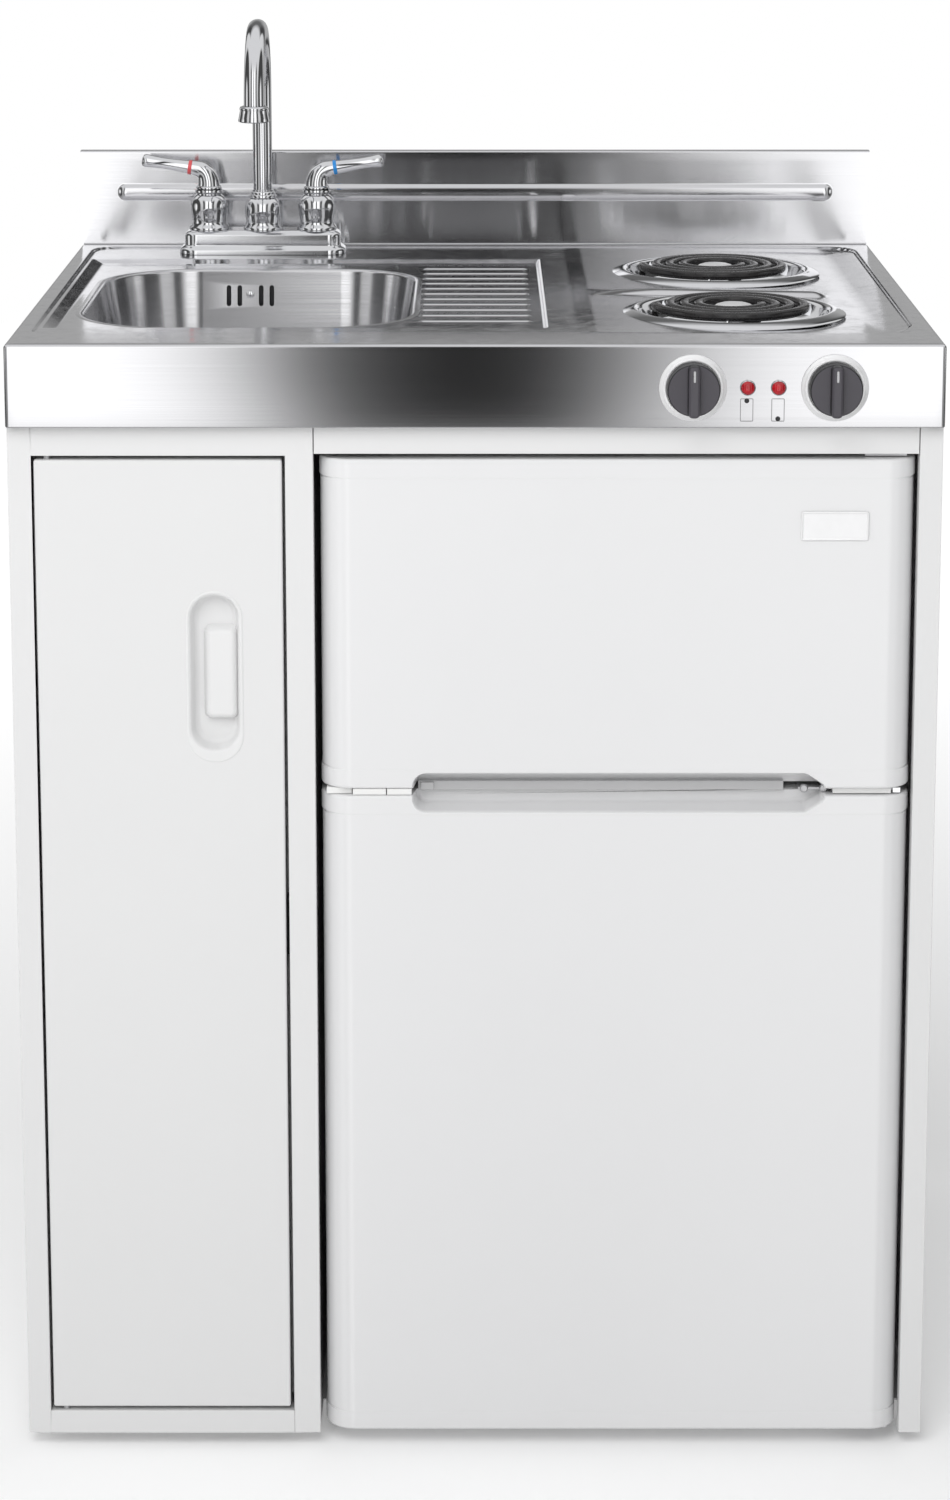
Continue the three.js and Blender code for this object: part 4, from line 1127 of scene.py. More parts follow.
class BuildBacksplash(Operator):
    """Builds the backsplash with its pressed bead and its bent top"""
    bl_idname = "kitchenette.backsplash"
    bl_label = "Backsplash"

    def execute(self, context):
        low, high = span("backsplash")
        thickness = 1.2
        stand = size("worktop", "bead_height")
        face = low.y + stand
        x0, x1, z0, z1, bend = -342, 342, up(42.5), up(58), 2.4
        xs = grid_lines(low.x, high.x, 16, [(x0 - 1, x0 + 10, 1.0), (x1 - 10, x1 + 1, 1.0)])
        zs = grid_lines(low.z, high.z - bend, 8, [(z0 - 1, z1 + 1, 0.9)])
        half = (z1 - z0) / 2
        shell = Shell()
        columns = []
        for x in xs:
            column = []
            for z in zs:
                away = hypot(max(x0 + half - x, x - x1 + half, 0), z - (z0 + z1) / 2) / half
                out = stand * (1 - min(away, 1) ** 2.6)
                column.append((x, face - out, z))
            lip = arc(face + bend, high.z - bend, bend, 180, 90, 5)[1:]
            lip += arc(high.y - bend, high.z - bend, bend, 90, 0, 5) + [(high.y, high.z - 8)]
            columns.append(column + [(x, y, z) for y, z in lip])
        shell.loft(columns, closed=False, first=False, last=False)
        piece = mesh_object("bent_backsplash", shell, ("brushed_steel",), merge=False)
        sheet = piece.modifiers.new("Sheet", "SOLIDIFY")
        sheet.thickness = thickness * MM
        sheet.offset = 1
        settle(piece)
        keep_inside(piece, low, high)
        finish_piece(piece, "unit", "stainless", ("backsplash",), sharp=50, weighted=False)
        joint = Shell()
        joint.sweep([(x, face - 0.2, up(0.4)) for x in (-HALF + 2, HALF - 2)], 0.7, 8, side=(0, 0, 1))
        make_piece("backsplash_weld", joint, "satin_metal", "unit", "stainless")
        return {"FINISHED"}


# ---------------------------------------------------------------- sink

def towards(ring, centre, radius):
    """The ring's points moved onto a circle about centre."""
    cx, cy = centre
    moved = []
    for x, y in ring:
        reach = hypot(x - cx, y - cy)
        moved.append((cx + (x - cx) * radius / reach, cy + (y - cy) * radius / reach))
    return moved


class BuildSink(Operator):
    """Builds the bowl, its overflow and the drain with its strainer"""
    bl_idname = "kitchenette.sink"
    bl_label = "Sink"

    def execute(self, context):
        x0, x1, u0, u1 = BOWL
        floor_level = -size("worktop", "sink_drop")
        depth = size("worktop", "bowl_depth")
        outline = rounded(x0, x1, deep(u0), deep(u1), BOWL_CORNERS, 20)
        shell = Shell()
        rings = [flat(offset(outline, grow), up(floor_level + rise))
                 for grow, rise in ((5.0, 0.02), (2.6, 0.35), (1.2, 0.4))]
        lip, lean = 3.4, 9.8
        for i in range(1, 8):
            angle = radians(90 * i / 7)
            rings.append(flat(offset(outline, 1.2 - lip * sin(angle)),
                              up(floor_level + 0.4 - lip * (1 - cos(angle)))))
        bottom = floor_level - depth
        wall_top, wall_foot, curve = floor_level - 3.2, bottom + 27, 26
        for i in range(1, 9):
            t = i / 8
            rings.append(flat(offset(outline, -2.2 - lean * t), up(wall_top + (wall_foot - wall_top) * t)))
        for i in range(1, 10):
            angle = radians(90 * i / 9)
            rings.append(flat(offset(outline, -12 - curve * (1 - cos(angle))),
                              up(wall_foot - (curve - 2.4) * sin(angle))))
        last = offset(outline, -38)
        cx, cy, drain = DRAIN[0], deep(DRAIN[1]), DRAIN[2]
        hole = towards(last, (cx, cy), drain)
        for i in range(1, 9):
            t = i / 8
            blend = [(a[0] + (b[0] - a[0]) * t, a[1] + (b[1] - a[1]) * t) for a, b in zip(last, hole)]
            rings.append(flat(blend, up(bottom + 3.4 - 2.6 * t)))
        rings.append(flat(towards(last, (cx, cy), drain - 2), up(bottom - 1.5)))
        shell.loft(rings, first=False, last=False)
        bowl = mesh_object("pressed_bowl", shell, ("bowl_steel",), merge=False)
        sheet = bowl.modifiers.new("Sheet", "SOLIDIFY")
        sheet.thickness = 1.0 * MM
        sheet.offset = -1
        slots = []
        for x in (-227.4, -217.4, -197.6, -187.8):  # the overflow's slots, on both sides of its screw
            slot = Shell()
            opening = rounded(x - 2.15, x + 2.15, up(-38), up(-19), 2.1, 6)
            slot.plaque(opening, deep(u1 - 30), deep(u1 + 12))
            slots.append(cutter(slot))
        carve(bowl, *slots)
        finish_piece(bowl, "unit", "stainless", ("sink_bowl",), sharp=50, weighted=False)

        # A black seal pad behind the overflow's slots, which is also painted shade: it fills the dark cavity
        # that the slots look into.
        seal = Shell()
        pad = rounded(-234, -181, up(-42), up(-15), 6, 6)
        seal.loft([upright(offset(pad, -0.5), deep(u1 - 1.5)), upright(pad, deep(u1) + 0.2),
                   upright(pad, deep(u1) + 3.4)])
        make_piece("overflow_seal_and_shade", seal, "black_plastic", "unit", "black_plastic")
        fixings = Shell()
        fixings.screw((-207.7, deep(u1) - 4.6, up(-28.5)), 4.6)
        make_piece("overflow_screw", fixings, "chrome", "unit", "stainless")
        self.drain(cx, cy, up(bottom))
        return {"FINISHED"}

    def drain(self, cx, cy, floor):
        """The drain's cup, its strainer with two rings of holes, and the strainer's post."""
        body = Shell()
        profile = [(17, -80), (20, -80), (20, -50), (40, -47), (42, -4), (42, 0.6), (54, 0.8),
                   (54.5, 1.6), (53, 2.7), (48, 3.0), (44.5, 1.6), (42.6, -1.5), (41, -8), (39.5, -43),
                   (17, -45), (17, -80)]
        body.turn(profile, (cx, cy, floor), "up", 72)
        make_piece("drain_cup", body, "chrome", "unit", "stainless", ("sink_drain",))
        basket = Shell()
        basket.turn([(0, -7.5), (12, -7.5), (14, -8.4), (38, -8.4), (41, -6.0), (42, -2.2), (42.6, -2.0),
                     (41.4, -7.4), (38.4, -9.8), (0, -9.8)], (cx, cy, floor), "up", 72)
        strainer = mesh_object("drain_strainer", basket, ("chrome",))
        holes = Shell()
        for count, reach in ((8, 20), (14, 31)):
            for x, y in circle(cx, cy, reach, count):
                holes.turn([(2.6, -14), (2.6, -2)], (x, y, floor), "up", 14)
        carve(strainer, cutter(holes))
        finish_piece(strainer, "unit", "stainless", sharp=40)
        post = Shell()
        post.turn([(0, 6), (5, 6), (7, 4.5), (7, 3), (4, 1.5), (3.2, -4), (4.5, -7.6), (0, -7.6)],
                  (cx, cy, floor), "up", 32)
        make_piece("strainer_post", post, "chrome", "unit", "stainless")


# ---------------------------------------------------------------- tap

TAP_X, TAP_U = -201.0, 560.0
VALVE_REACH = 51  # from the spout's axis to each valve's
LEVER_SIDES = (("hot", -1), ("cold", 1))


class BuildTap(Operator):
    """Builds the tap: base, bells, spout, aerator and levers"""
    bl_idname = "kitchenette.tap"
    bl_label = "Tap"

    def execute(self, context):
        y = deep(TAP_U)
        base = Shell()
        body = rounded(TAP_X - 78.5, TAP_X + 78.5, y - 24, y + 24, 17, 10)
        levels = ((0, -1.2), (0, 1.6), (-0.8, 3.4), (-2.4, 5.0), (-4.4, 6.2), (-4.8, 7.4), (-4.8, 15.2),
                  (-5.4, 17.2), (-7.2, 19.2), (-9.6, 20.4), (-11.0, 20.8))
        base.loft([flat(offset(body, grow), up(h)) for grow, h in levels])
        collar = ((18.2, 20), (18.6, 21.5), (18, 23.4), (16.2, 25.4), (15.8, 28), (16.6, 33), (17.2, 38),
                  (16.8, 43), (15, 47), (12.6, 49.6), (12.9, 51), (12.9, 52.6), (12, 53.8), (0, 54))
        bell = ((18.4, 20), (19, 21.6), (18.4, 23.4), (16.4, 25.6), (15.7, 28.2), (16.4, 33), (17.4, 39),
                (17.6, 43.5), (16.6, 48), (14, 51.6), (11.6, 53.6), (11.6, 54.8), (12.9, 55.6), (13.2, 57),
                (12.6, 58.4), (0, 58.4))
        valves = (TAP_X - VALVE_REACH, TAP_X + VALVE_REACH)
        for x, profile in zip((TAP_X, *valves), (collar, bell, bell)):
            base.turn(profile, (x, y, up(0)), "up", 48)
        for x in valves:
            base.turn([(10.5, 0), (10.5, -54)], (x, y, up(0)), "up", 24)
            base.turn([(19, -21), (20, -20), (20, -11), (19, -10)], (x, y, up(0)), "up", 6)
        make_piece("tap_body", base, "chrome", "unit", "chrome", ("tap_base",), sharp=42)

        bend, tube = 62.0, 9.0
        bend_z = span("spout")[1].z - bend - 9.5
        path = [(TAP_X, y, up(h)) for h in (53.4, 84, 118, 140)]
        path += [(TAP_X, a, b) for a, b in arc(y - bend, bend_z, bend, 0, 180, 24)]
        end_y = y - 2 * bend
        path.append((TAP_X, end_y, up(149.4)))
        neck = Shell()
        radii = [tube] * (len(path) - 8) + [tube + 0.05 * i for i in range(8)]
        neck.sweep(path, radii, 32, side=(1, 0, 0))
        neck.turn([(9.2, 53.4), (11.2, 53.4), (11.4, 54.2), (11.2, 56), (10, 56.8), (10, 58.2), (9.2, 58.8)],
                  (TAP_X, y, up(0)), "up", 40)
        make_piece("gooseneck_spout", neck, "chrome", "spout", "chrome", ("spout",), sharp=50)
        nozzle = Shell()
        profile = [(8.5, 134.6), (12.6, 134.4), (14.3, 135), (14.6, 136), (14.1, 138.4), (13.3, 142.4),
                   (12.8, 145.2), (13.2, 146), (13.2, 147.4), (12.4, 148.6), (10.6, 149.3), (0, 149.3)]
        nozzle.turn(profile, (TAP_X, end_y, up(0)), "up", 48)
        nozzle.finish = 1
        nozzle.turn([(8.6, 134.9), (8.2, 136.6), (0, 136.6)], (TAP_X, end_y, up(0)), "up", 32)
        for a, b in circle(0, 0, 1, 10):
            nozzle.sweep([(TAP_X + r * a, end_y + r * b, up(135.9)) for r in (2, 8.4)], 0.5, 6)
        make_piece("nozzle", nozzle, ("chrome", "grey_plastic"), "spout", "chrome", ("aerator",), sharp=40)
        for name, side in LEVER_SIDES:
            self.lever(name, side, y)
        return {"FINISHED"}

    def lever(self, name, side, y):
        """A lever that curves up and outward from its valve, with its coloured band."""
        x = TAP_X + side * VALVE_REACH
        joint = Shell()
        hub = [(0, 58.6), (11.2, 58.6), (12.2, 59.6), (12, 61), (10.8, 62), (0, 62)]
        joint.turn(hub, (x, y, up(0)), "up", 44)
        knots = ((0, 60, 10.6), (0.2, 66, 9.9), (2.2, 72.4, 9.0), (6.5, 76.6, 8.0), (12.5, 78.4, 7.1),
                 (18, 79.2, 6.5), (24, 80.1, 6.0), (34, 81.7, 5.4), (44, 83.2, 5.2), (52, 84.4, 5.6),
                 (56.5, 85.1, 6.1), (59.5, 85.5, 6.2), (61.6, 85.8, 5.2), (62.6, 86.0, 3.4),
                 (63.0, 86.05, 0.6))
        path = smooth_path([(x + side * out, y, up(h)) for out, h, _ in knots], 3)
        radii = smooth_path([(r, 0, 0) for _, _, r in knots], 3)
        joint.sweep(path, [r.x for r in radii], 28, side=(0, 1, 0))
        joint.finish = 1
        ring = ((15.7, 78.87), (17.6, 79.14), (19.5, 79.43))
        band = smooth_path([(x + side * out, y, up(h)) for out, h in ring], 4)
        joint.sweep(band, [6.4, 6.9, 7.0, 7.0, 6.95, 6.9, 6.85, 6.75, 6.2], 28, side=(0, 1, 0))
        make_piece(name + "_side_lever", joint, ("chrome", name + "_band"), name + "_lever", "chrome",
                   (name + "_lever",), sharp=50)


# ---------------------------------------------------------------- hob

class BuildHob(Operator):
    """Builds the drip pans and the coil elements"""
    bl_idname = "kitchenette.hob"
    bl_label = "Hob"

    def execute(self, context):
        for end in ("front", "rear"):
            centre = (size("hob", "burner_x"), deep(size("hob", end + "_ring")))
            self.pan(end, *centre)
            self.coil(end, *centre)
        return {"FINISHED"}

    def pan(self, end, x, y):
        edge = size("hob", "pan_radius")
        rim = up(-size("worktop", "hob_drop") + 3.3)
        profile = [(0, -30.4), (18, -30.4), (20, -30), (52, -29.6), (58, -28.2), (66, -22), (74, -13),
                   (78.6, -4), (79.8, -0.4), (80.8, 1.8), (82, 3.0), (83.6, 3.6), (85.4, 3.5), (88, 2.8),
                   (edge - 3.8, 1.5), (edge - 1.6, 0.5), (edge - 0.5, -0.3), (edge, -1.0),
                   (edge - 0.4, -1.5), (edge - 1.3, -1.2), (edge - 2.0, -0.7), (edge - 4.2, 0.3),
                   (88, 1.5), (85, 2.2), (83.2, 2.1), (82, 0.8), (80.2, -3.2), (77.6, -7.5), (73.2, -14),
                   (65.4, -22.9), (57.6, -29.1), (52, -30.5), (20, -31), (0, -31.4)]
        shell = Shell()
        shell.turn(profile, (x, y, rim), "up", 112)
        dish = mesh_object(end + "_chrome_pan", shell, ("chrome",))
        window = Shell()  # where the element's leads pass to its socket
        window.prism(rounded(x - 84, x - 44, y - 15, y + 15, 12, 8), rim - 40, rim - 1.8)
        drain_hole = Shell()
        drain_hole.turn([(14, -40), (14, -20)], (x, y, rim), "up", 32)
        carve(dish, cutter(window), cutter(drain_hole))
        finish_piece(dish, "unit", "chrome", (end + "_drip_pan",), sharp=46, weighted=False)

        clip = Shell()  # an open loop that falls towards its ends
        loop = [(x - 70 + 9.5 * cos(radians(a)), y + 11 * sin(radians(a)), rim - 4.4 - 0.03 * abs(180 - a))
                for a in range(40, 325, 12)]
        clip.sweep(loop, 1.7, 12, side=(0, 0, 1))
        make_piece(end + "_terminal_clip", clip, "bright_satin", "unit", "chrome")
        nest = Shell()
        for near, far in ((-13.6, -11.4), (-2.6, 2.6), (11.4, 13.6)):
            nest.block(x - 87, x - 62, y + near, y + far, rim - 18, rim - 10)
        make_piece(end + "_terminal_block", nest, "white_plastic", "unit", "black_plastic", bevel=1.2)

    def coil(self, end, x, y):
        """A flat spiral on three fins, with two leads that run left to the socket."""
        outer, turns = size("hob", "coil_radius"), settings("hob").coil_turns
        inner, half = 23.5, 4.0
        z = up(size("hob", "coil_top")) - half * 0.92
        tail_z = span(end + "_receptacle")[1].z - 6.5
        around = 44
        steps = round(around * turns)
        spiral = []
        for i in range(steps + 1):
            angle = pi + i / around * 2 * pi
            reach = outer - (outer - inner) * i / steps
            spiral.append((x + reach * cos(angle), y + reach * sin(angle), z))
        leads = [[(-87, 7, tail_z), (-79, 7, tail_z), (-73, 7, tail_z + 3), (-67.6, 6.6, z - 12),
                  (-65.4, 4, z - 4)],
                 [(23.2, -3.4, z - 3.4), (20, -6.6, z - 11), (10, -7, z - 16), (-20, -7, z - 17.5),
                  (-48, -7, tail_z + 1), (-64, -7, tail_z), (-87, -7, tail_z)]]
        # The winding's section, flattened at its top.
        section = [(-1.0, -0.15), (-0.92, -0.55), (-0.5, -0.92), (0, -1.0), (0.5, -0.92), (0.92, -0.55),
                   (1.0, -0.15), (1.0, 0.35), (0.88, 0.72), (0.6, 0.9), (0, 0.93), (-0.6, 0.9),
                   (-0.88, 0.72), (-1.0, 0.35)]
        windings = Shell()
        windings.sweep(spiral, half, side=(0, 0, 1), section=[(b, a) for a, b in section])
        for lead in leads:
            route = smooth_path([(x + a, y + b, h) for a, b, h in lead], 4)
            windings.sweep(route, 3.4, 14, side=(0, 1, 0))
        windings.finish = 1
        fin = [(11, -4.4), (71, -4.4), (71.6, -2.4), (72.4, -1.8), (73.2, -2.6), (74, -7.5), (72.5, -12.6),
               (62, -9.8), (20, -9.6), (11, -11.5)]
        for degrees in (-98, 22, 142):
            first = len(windings.points)
            windings.loft([[Vector((a, side, b)) for a, b in fin] for side in (-0.6, 0.6)])
            windings.move(first, (x, y, z), Matrix.Rotation(radians(degrees), 3, "Z"))
        medallion = [(0, 3.3), (6, 3.1), (11, 2.5), (14.6, 1.4), (16.8, -0.2), (17.4, -2), (17, -9.8),
                     (0, -9.8)]
        windings.finish = 2
        windings.turn(medallion, (x, y, z), "up", 48)
        make_piece(end + "_ring_element", windings, ("element", "chrome", "bright_satin"), end + "_coil",
                   "element", (end + "_coil",), sharp=44)


# ---------------------------------------------------------------- controls

class BuildControls(Operator):
    """Builds the knobs, their bezels, the pilot lamps and the printed marks"""
    bl_idname = "kitchenette.controls"
    bl_label = "Controls"

    def execute(self, context):
        for side in ("left", "right"):
            self.knob(side, on_apron(side + "_bezel"))
            self.lamp(side, on_apron(side + "_lamp"))
        marks = Shell()
        foot, top = 886.8, 905.0
        for x0, x1, dot_z in ((213.1, 223.1, 903.4), (238.2, 248.2, 888.7)):
            box = rounded(x0, x1, foot, top, 0.7, 3)
            marks.finish = 0
            rows = [marks.row(upright(offset(box, grow), FRONT - out)) for grow, out in (
                (0.27, -0.1), (0.27, 0.12), (-0.27, 0.12), (-0.27, -0.1))]
            for a, b in zip(rows, rows[1:]):
                marks.bridge(a, b)
            marks.finish = 1
            marks.turn([(2.0, -0.1), (2.0, 0.14), (0, 0.14)], ((x0 + x1) / 2, FRONT, dot_z), "front", 28)
        make_piece("printed_marks", marks, ("printed_ink", "black_plastic"), "unit", "black_plastic")
        return {"FINISHED"}

    def knob(self, side, centre):
        """The bezel's dish, and the knob with its grip and pointer."""
        around = 96
        bezel = Shell()
        bezel.turn([(5.4, 0.3), (27, 0.3), (27.2, 0.8), (26.9, 1.4), (25.8, 1.9), (24.9, 2.5), (24.4, 3.2),
                    (23.8, 3.7), (22.4, 3.8), (21.9, 3.5), (21.7, 3.0), (21.6, 1.9), (5.4, 1.9), (5.4, 0.3)],
                   centre, "front", around)
        make_piece(side + "_dish", bezel, "bright_satin", "unit", "satin_metal", (side + "_bezel",),
                   sharp=50)
        x, y, z = centre
        knob = Shell()
        knob.turn([(0, -12), (3, -12), (3, 3.2), (20.6, 3.2), (21.3, 4.0), (21.3, 6), (21.1, 14.4),
                   (20.8, 15.2), (20.3, 15.6), (19.9, 15.7), (0, 15.7)], centre, "front", around)
        knob.finishes[3 * around:8 * around] = [2] * (5 * around)  # a black ring round its edge
        grip = rounded(x - 4.9, x + 4.9, z - 21.4, z + 20.6, 4.0, 6)
        steps = ((0.6, 12.5), (0.2, 15.5), (0.0, 20.5), (-0.4, 22.4), (-1.3, 23.5), (-2.6, 23.9))
        # The grip's sides take the black plastic as painted shade along both sides of the bar; its top keeps
        # the knob's colour.
        knob.finish = 2
        knob.relief(grip, y, steps[:4], last=False)
        knob.finish = 0
        knob.relief(grip, y, steps[3:], first=False)
        knob.finish = 1
        pointer = rounded(x - 0.95, x + 0.95, z + 8.0, z + 17.4, 0.8, 4)
        knob.loft([upright(pointer, y - 23.4), upright(offset(pointer, -0.1), y - 23.99)])
        make_piece(side + "_grip", knob, ("knob_plastic", "satin_metal", "black_plastic"),
                   side + "_knob", "knob_plastic", (side + "_knob",), sharp=50)

    def lamp(self, side, centre):
        lamp = Shell()
        lamp.turn([(0, -20), (4.6, -20), (4.6, 0.3), (5.6, 0.5), (5.5, 1.4), (5.1, 2.4), (4.4, 3.3),
                   (3.4, 4.0), (2.3, 4.45), (1.1, 4.7), (0, 4.75)], centre, "front", 40)
        lamp.finish = 1
        ring = [(5.2, 0.3), (6.2, 0.3), (6.35, 0.8), (6.0, 1.5), (5.6, 1.6), (5.4, 1.2)]
        lamp.turn(ring, centre, "front", 40)
        make_piece(side + "_pilot_lamp", lamp, ("red_lens", "chrome"), "unit", "red_lens", (side + "_lamp",),
                   sharp=50)


# ---------------------------------------------------------------- fridge-freezer

LEAF_X0, LEAF_X1, LEAF_U0, LEAF_BACK = -127.0, 358.0, 8.0, 56.0
PIN_X, PIN_U, PIN_REACH = 334.0, 32.0, 24.0  # the hinge pin and the leaf's radius round it
POCKET = (-51.0, 287.0, 559.0, 591.0)  # its left, right, foot and top


def leaf_outline():
    """A fridge door's outline seen from above, anticlockwise from its front left corner."""
    corner = size("doors", "leaf_corner")
    front = deep(LEAF_U0)
    points = [(LEAF_X0 + corner + (PIN_X - LEAF_X0 - corner) * i / 12, front) for i in range(12)]
    points += arc(PIN_X, deep(PIN_U), PIN_REACH, -90, 0, 12)
    points += [(LEAF_X1, deep(LEAF_BACK) - 6), (LEAF_X1 - 6, deep(LEAF_BACK)), (LEAF_X0, deep(LEAF_BACK))]
    return points + arc(LEAF_X0 + corner, front + corner, corner, 180, 270, 12)[:-1]


def pocket_cutter():
    """The shape that both doors lose to the pull pocket."""
    x0, x1, z0, z1 = POCKET
    corner = 11.0
    mouth = arc(x0 + corner, z0 + corner, corner, 180, 270, 8)
    mouth += [(x1 - 17, z0), (x1 - 13.5, z0 + 1.2), (x1 - 1.2, z0 + 9.2), (x1, z0 + 11)]
    mouth += [(x1, z1 - 11), (x1 - 1.2, z1 - 9.2), (x1 - 13.5, z1 - 1.2), (x1 - 17, z1)]
    mouth += arc(x0 + corner, z1 - corner, corner, 90, 180, 8)
    depth = size("doors", "pocket_depth")
    front = deep(LEAF_U0)
    shell = Shell()
    steps = ((2.2, -3), (1.6, -0.4), (0.7, 0.3), (0.1, 1.4), (-0.4, 3.5), (-0.55, 4.8), (-2.4, depth - 3.8),
             (-2.6, depth - 2.2), (-3.4, depth - 0.7), (-5.0, depth), (-6.2, depth))
    shell.loft([upright(offset(mouth, grow), front + into) for grow, into in steps])
    return cutter(shell)


class BuildFridgeDoors(Operator):
    """Builds both fridge doors, their pull pocket, a grey strip as painted shade in the gap, the strips
    under the freezer door and the badge plate
    """
    bl_idname = "kitchenette.fridge_doors"
    bl_label = "Fridge doors"

    def execute(self, context):
        outline = leaf_outline()
        # Each end cap's levels: growth, distance from the leaf's end, and the share of the growth
        # that its front takes, so that the cap lies flush in front.
        cap, flush = 16.0, 0.15
        skin, groove, proud = -0.9, -1.7, -0.05
        ends = ((-2.2, 0, 1), (-0.9, 0.45, 1), (-0.25, 1.4, 1), (proud, 2.8, 1), (proud, cap - 1.2, flush),
                (proud - 0.4, cap - 0.4, flush), (groove, cap, flush), (groove, cap + 0.8, flush),
                (skin, cap + 1.4, flush))
        for name in ("freezer_door", "fridge_door"):
            low, high = span(name)
            levels = [(grow, low.z + rise, share) for grow, rise, share in ends]
            levels += [(grow, high.z - drop, share) for grow, drop, share in reversed(ends)]
            shell = Shell()
            shell.loft([[(mx, y + (my - y) * share, z)
                         for (_, y), (mx, my) in zip(outline, offset(outline, grow))]
                        for grow, z, share in levels])
            leaf = mesh_object(name + "_leaf", shell, ("door_enamel",))
            carve(leaf, pocket_cutter())
            finish_piece(leaf, name, "door_enamel", (name,), sharp=40)
        self.shade_strip_and_feet()
        self.badge()
        return {"FINISHED"}

    def shade_strip_and_feet(self):
        """A grey strip in the pull pocket, which is painted shade for the deep gap between the doors, and
        the short white ones under the freezer door's left end.
        """
        strip = Shell()
        z0, z1 = 572.8, 580.6
        # The grey strip is painted shade: it stands where the gap between the doors lies in shade.
        strip.block(-47, 254.5, deep(25), deep(30.5), z0, z1)
        strip.block(-45, -34, deep(22.5), deep(26), z0 + 0.8, z1 - 0.8)
        make_piece("pocket_shade_strip", strip, "grey_plastic", "freezer_door", "white_plastic", bevel=0.6)
        feet = Shell()
        for x0, x1 in ((-122, -101.2), (-100.4, -73.1), (-72.3, -52)):
            feet.block(x0, x1, deep(14 if x0 < -110 else 10), deep(40), z0, 578.2)
        make_piece("door_foot_strip", feet, "white_plastic", "freezer_door", "white_plastic", bevel=0.5)

    def badge(self):
        """A blank plate with a raised edge."""
        low, high = span("badge_plate")
        plate = rounded(low.x, high.x, low.z, high.z, 2.2, 6)
        shell = Shell()
        back = high.y
        steps = ((0, 0), (0, 0.45), (-0.3, 0.8), (-0.9, 0.9), (-1.4, 0.75), (-1.7, 0.5), (-1.9, 0.45))
        field = rounded(low.x + 3.5, high.x - 3.5, low.z + 3.5, high.z - 3.5, 0.6, 6)
        shell.loft([upright(offset(plate, grow), back - out) for grow, out in steps]
                   + [upright(field, back - 0.45)])
        make_piece("blank_badge", shell, "bright_satin", "freezer_door", "satin_metal",
                   ("badge_plate",), sharp=50)


class BuildHinges(Operator):
    """Builds the middle hinge and the screws of all three hinges"""
    bl_idname = "kitchenette.hinges"
    bl_label = "Hinges"

    def execute(self, context):
        left, right, face, back = 316, 350, deep(63.7), deep(65.7)
        plate = Shell()
        plate.block(left, right, deep(20), back, 574.2, 576.8)
        plate.block(left, right, face, back, 567, 583)
        plate.turn([(3, -15), (3, 14), (2.2, 14.8), (0, 15)], (PIN_X, deep(PIN_U), 575.5), "up", 24)
        plate.turn([(6.5, 1.3), (6.5, 2.6), (5.8, 3.0), (3, 3.0)], (PIN_X, deep(PIN_U), 574.2), "up", 24)
        plate.block(266, 318, deep(21), deep(34), 574.6, 576.2)
        for x in (271, 287):
            head = [(0, 0), (3.4, 0), (3.4, 1.6), (2.6, 2.6), (0, 2.8)]
            plate.turn(head, (x, deep(22), 575.4), "front", 20)
        plate.finish = 1
        plate.block(294, 342, deep(13), deep(20.6), 573.3, 577.7)
        plate.finish = 2
        plate.block(343.5, 350, deep(15), deep(20.6), 573.3, 577.7)
        make_piece("mid_hinge_plate", plate, ("satin_metal", "white_plastic", "chrome"), "unit",
                   "satin_metal", ("middle_hinge",), bevel=0.35)
        screws = Shell()
        for z in (579.5, 570.5):
            screws.screw((333, face, z), 2.6)
        for x in (322, 344):
            screws.screw((x, face, 30), 3.0)
        for y in (78, 98):
            screws.screw((333, deep(y), 857.2), 3.0, "up")
        make_piece("hinge_screws", screws, "chrome", "unit", "satin_metal")
        return {"FINISHED"}


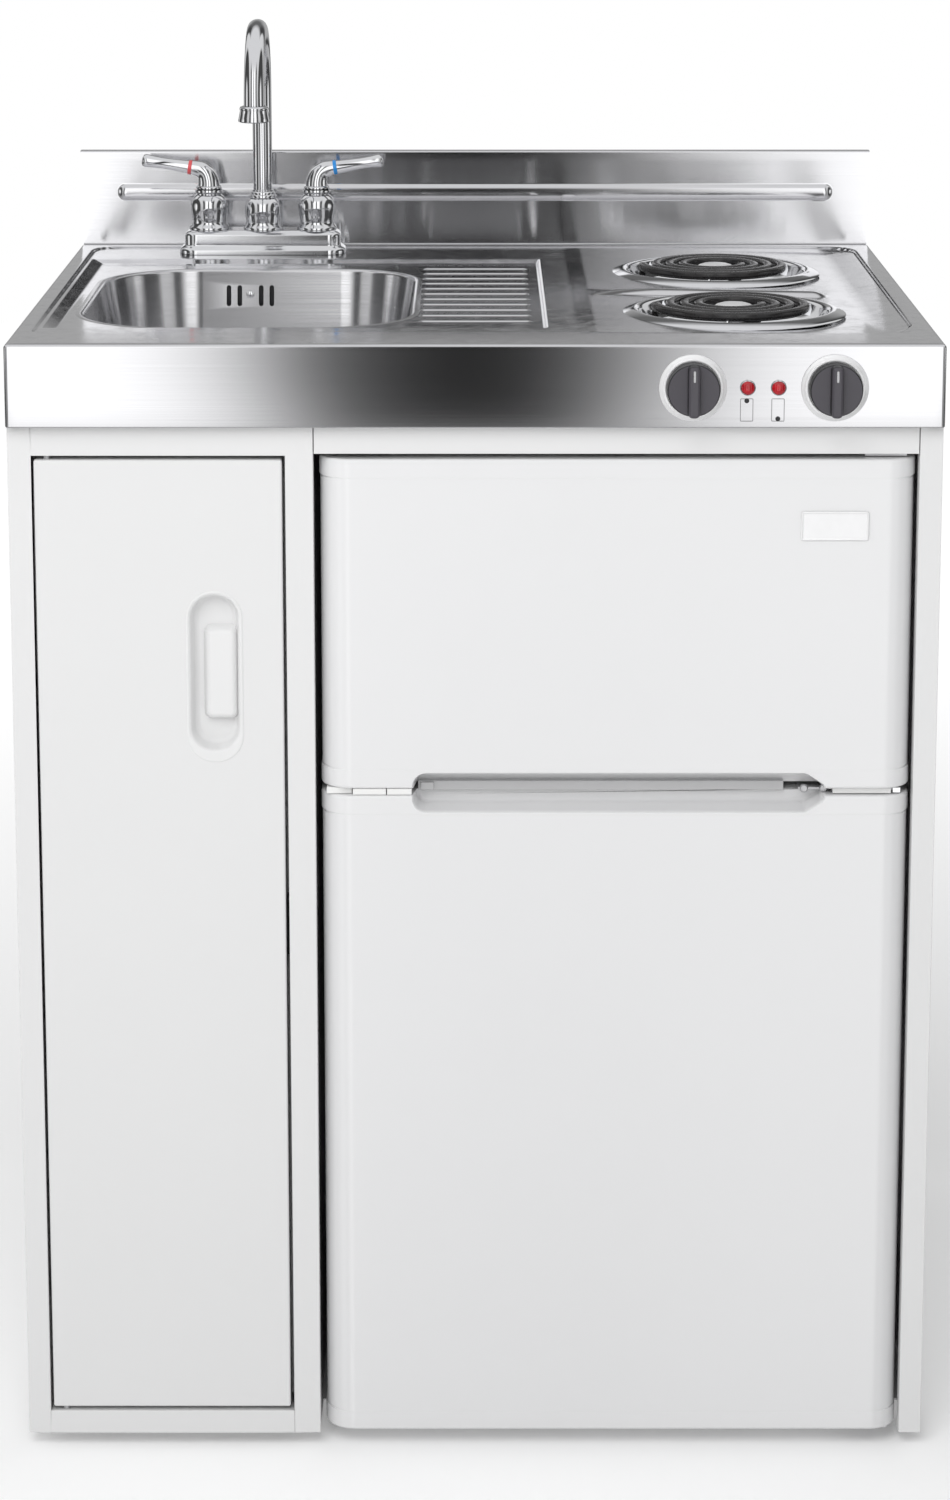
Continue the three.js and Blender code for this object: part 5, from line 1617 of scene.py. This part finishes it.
class BuildCooling(Operator):
    """Builds the compressor and the condenser behind the fridge"""
    bl_idname = "kitchenette.cooling"
    bl_label = "Cooling"

    def execute(self, context):
        cx, cy = 200.0, deep(485)
        can = Shell()
        can.turn([(0, 17), (40, 17), (54, 20), (60, 27), (61.6, 34), (61.6, 70), (62, 71), (62, 76),
                  (61.6, 77), (61.2, 108), (58, 122), (50, 134), (36, 142), (18, 146.4), (0, 147.4)],
                 (cx, cy, 0), "up", 72)
        for x0, x1 in ((122, 150), (250, 278)):
            can.block(x0, x1, cy - 30, cy + 30, 14.4, 17.4)
            for y in (cy - 20, cy + 20):
                can.turn([(7, 17), (7.5, 20), (6, 26), (0, 26.5)], ((x0 + x1) / 2, y, 0), "up", 24)
        can.block(134, 266, cy - 8, cy + 8, 17.2, 24)
        can.block(252, 276, cy - 20, cy + 20, 62, 104)
        make_piece("compressor_can", can, "machine_black", "unit", "black_paint", ("compressor",))

        rear = deep(545)
        low, high = span("condenser_coil")
        y = (deep(557) + deep(562)) / 2
        runs, pitch, left, right, bottom = 9, 62, low.x, high.x, 242.5
        top = bottom + (runs - 1) * pitch
        path = []
        for i in range(runs):
            z = bottom + i * pitch
            start, stop, way = (left + 18, right - 18, 1) if i % 2 == 0 else (right - 18, left + 18, -1)
            path += [(start, y, z), (stop, y, z)]
            if i < runs - 1:
                bend = [radians(-90 + 180 * k / 12) for k in range(1, 12)]
                path += [(stop + way * 15.5 * cos(angle), y, z + pitch / 2 + pitch / 2 * sin(angle))
                         for angle in bend]
        coil = Shell()
        coil.sweep(path, 2.4, 12, side=(0, 1, 0))
        wires = 29
        for i in range(wires):
            x = left + 22 + (right - left - 44) * i / (wires - 1)
            for side in (-1, 1):
                wire_y = y + side * 3.0
                coil.sweep([(x, wire_y, bottom - 6), (x, wire_y, top + 6)], 0.7, 6, side=(0, 1, 0))
        for x in (left + 61, right - 58):
            for z in (bottom - 8, top + 5):
                coil.block(x - 4, x + 4, rear + 0.4, y + 2.2, z, z + 3)
        make_piece("wire_condenser", coil, "machine_black", "unit", "black_paint", ("condenser_coil",),
                   weighted=False)

        pipes = Shell()
        pipes.sweep(smooth_path([(cx - 20, cy + 30, 140), (cx - 40, cy + 40, 156),
                                 (cx - 120, cy + 42, 168), (cx - 160, cy + 60, 190), (left + 20, y, 215),
                                 (left + 18, y, 242)], 8), 2.4, 12)
        pipes.sweep(smooth_path([(cx + 30, cy + 24, 140), (cx + 46, cy + 36, 158), (cx + 60, cy + 44, 176),
                                 (cx + 62, cy + 52, 186), (cx + 62, cy + 55, 193)], 6), 3.0, 12)
        drier = [(2.4, 0), (8, 4), (8.5, 8), (8.5, 60), (7, 66), (2.4, 72)]
        pipes.turn(drier, (-58, y - 6, 96), "up", 24)
        pipes.sweep(smooth_path([(-58, y - 6, 168), (-58, y - 4, 190), (-70, y - 1, 220),
                                 (left + 18, y, 242)], 8), 2.2, 10)
        make_piece("copper_pipes", pipes, "copper", "unit", "satin_metal")
        return {"FINISHED"}


# ---------------------------------------------------------------- add-on

BUILDERS = (
    BuildFinishes, BuildStudio, BuildCabinet, BuildCupboardDoor, BuildWorktop, BuildBacksplash, BuildSink,
    BuildTap, BuildHob, BuildControls, BuildFridgeDoors, BuildHinges, BuildCooling)

SETTINGS = {
    "studio": StudioSettings, "finishes": FinishSettings, "worktop": WorktopSettings, "hob": HobSettings,
    "doors": DoorSettings}


class KitchenettePanel(Panel):
    """Lists the pieces of the unit"""
    bl_idname = "VIEW3D_PT_kitchenette"
    bl_label = "Kitchenette"
    bl_space_type = "VIEW_3D"
    bl_region_type = "UI"
    bl_category = "Kitchenette"

    def draw(self, context):
        for builder in BUILDERS:
            self.layout.operator(builder.bl_idname)


def register():
    for kind, group_class in SETTINGS.items():
        bpy.utils.register_class(group_class)
        setattr(bpy.types.Scene, "kitchenette_" + kind, PointerProperty(type=group_class))
    for item in (*BUILDERS, KitchenettePanel):
        bpy.utils.register_class(item)


def unregister():
    for item in (KitchenettePanel, *reversed(BUILDERS)):
        bpy.utils.unregister_class(item)
    for kind, group_class in SETTINGS.items():
        delattr(bpy.types.Scene, "kitchenette_" + kind)
        bpy.utils.unregister_class(group_class)


def main():
    register()
    for builder in BUILDERS:
        family, action = builder.bl_idname.split(".")
        getattr(getattr(bpy.ops, family), action)()


if __name__ == "__main__":
    main()
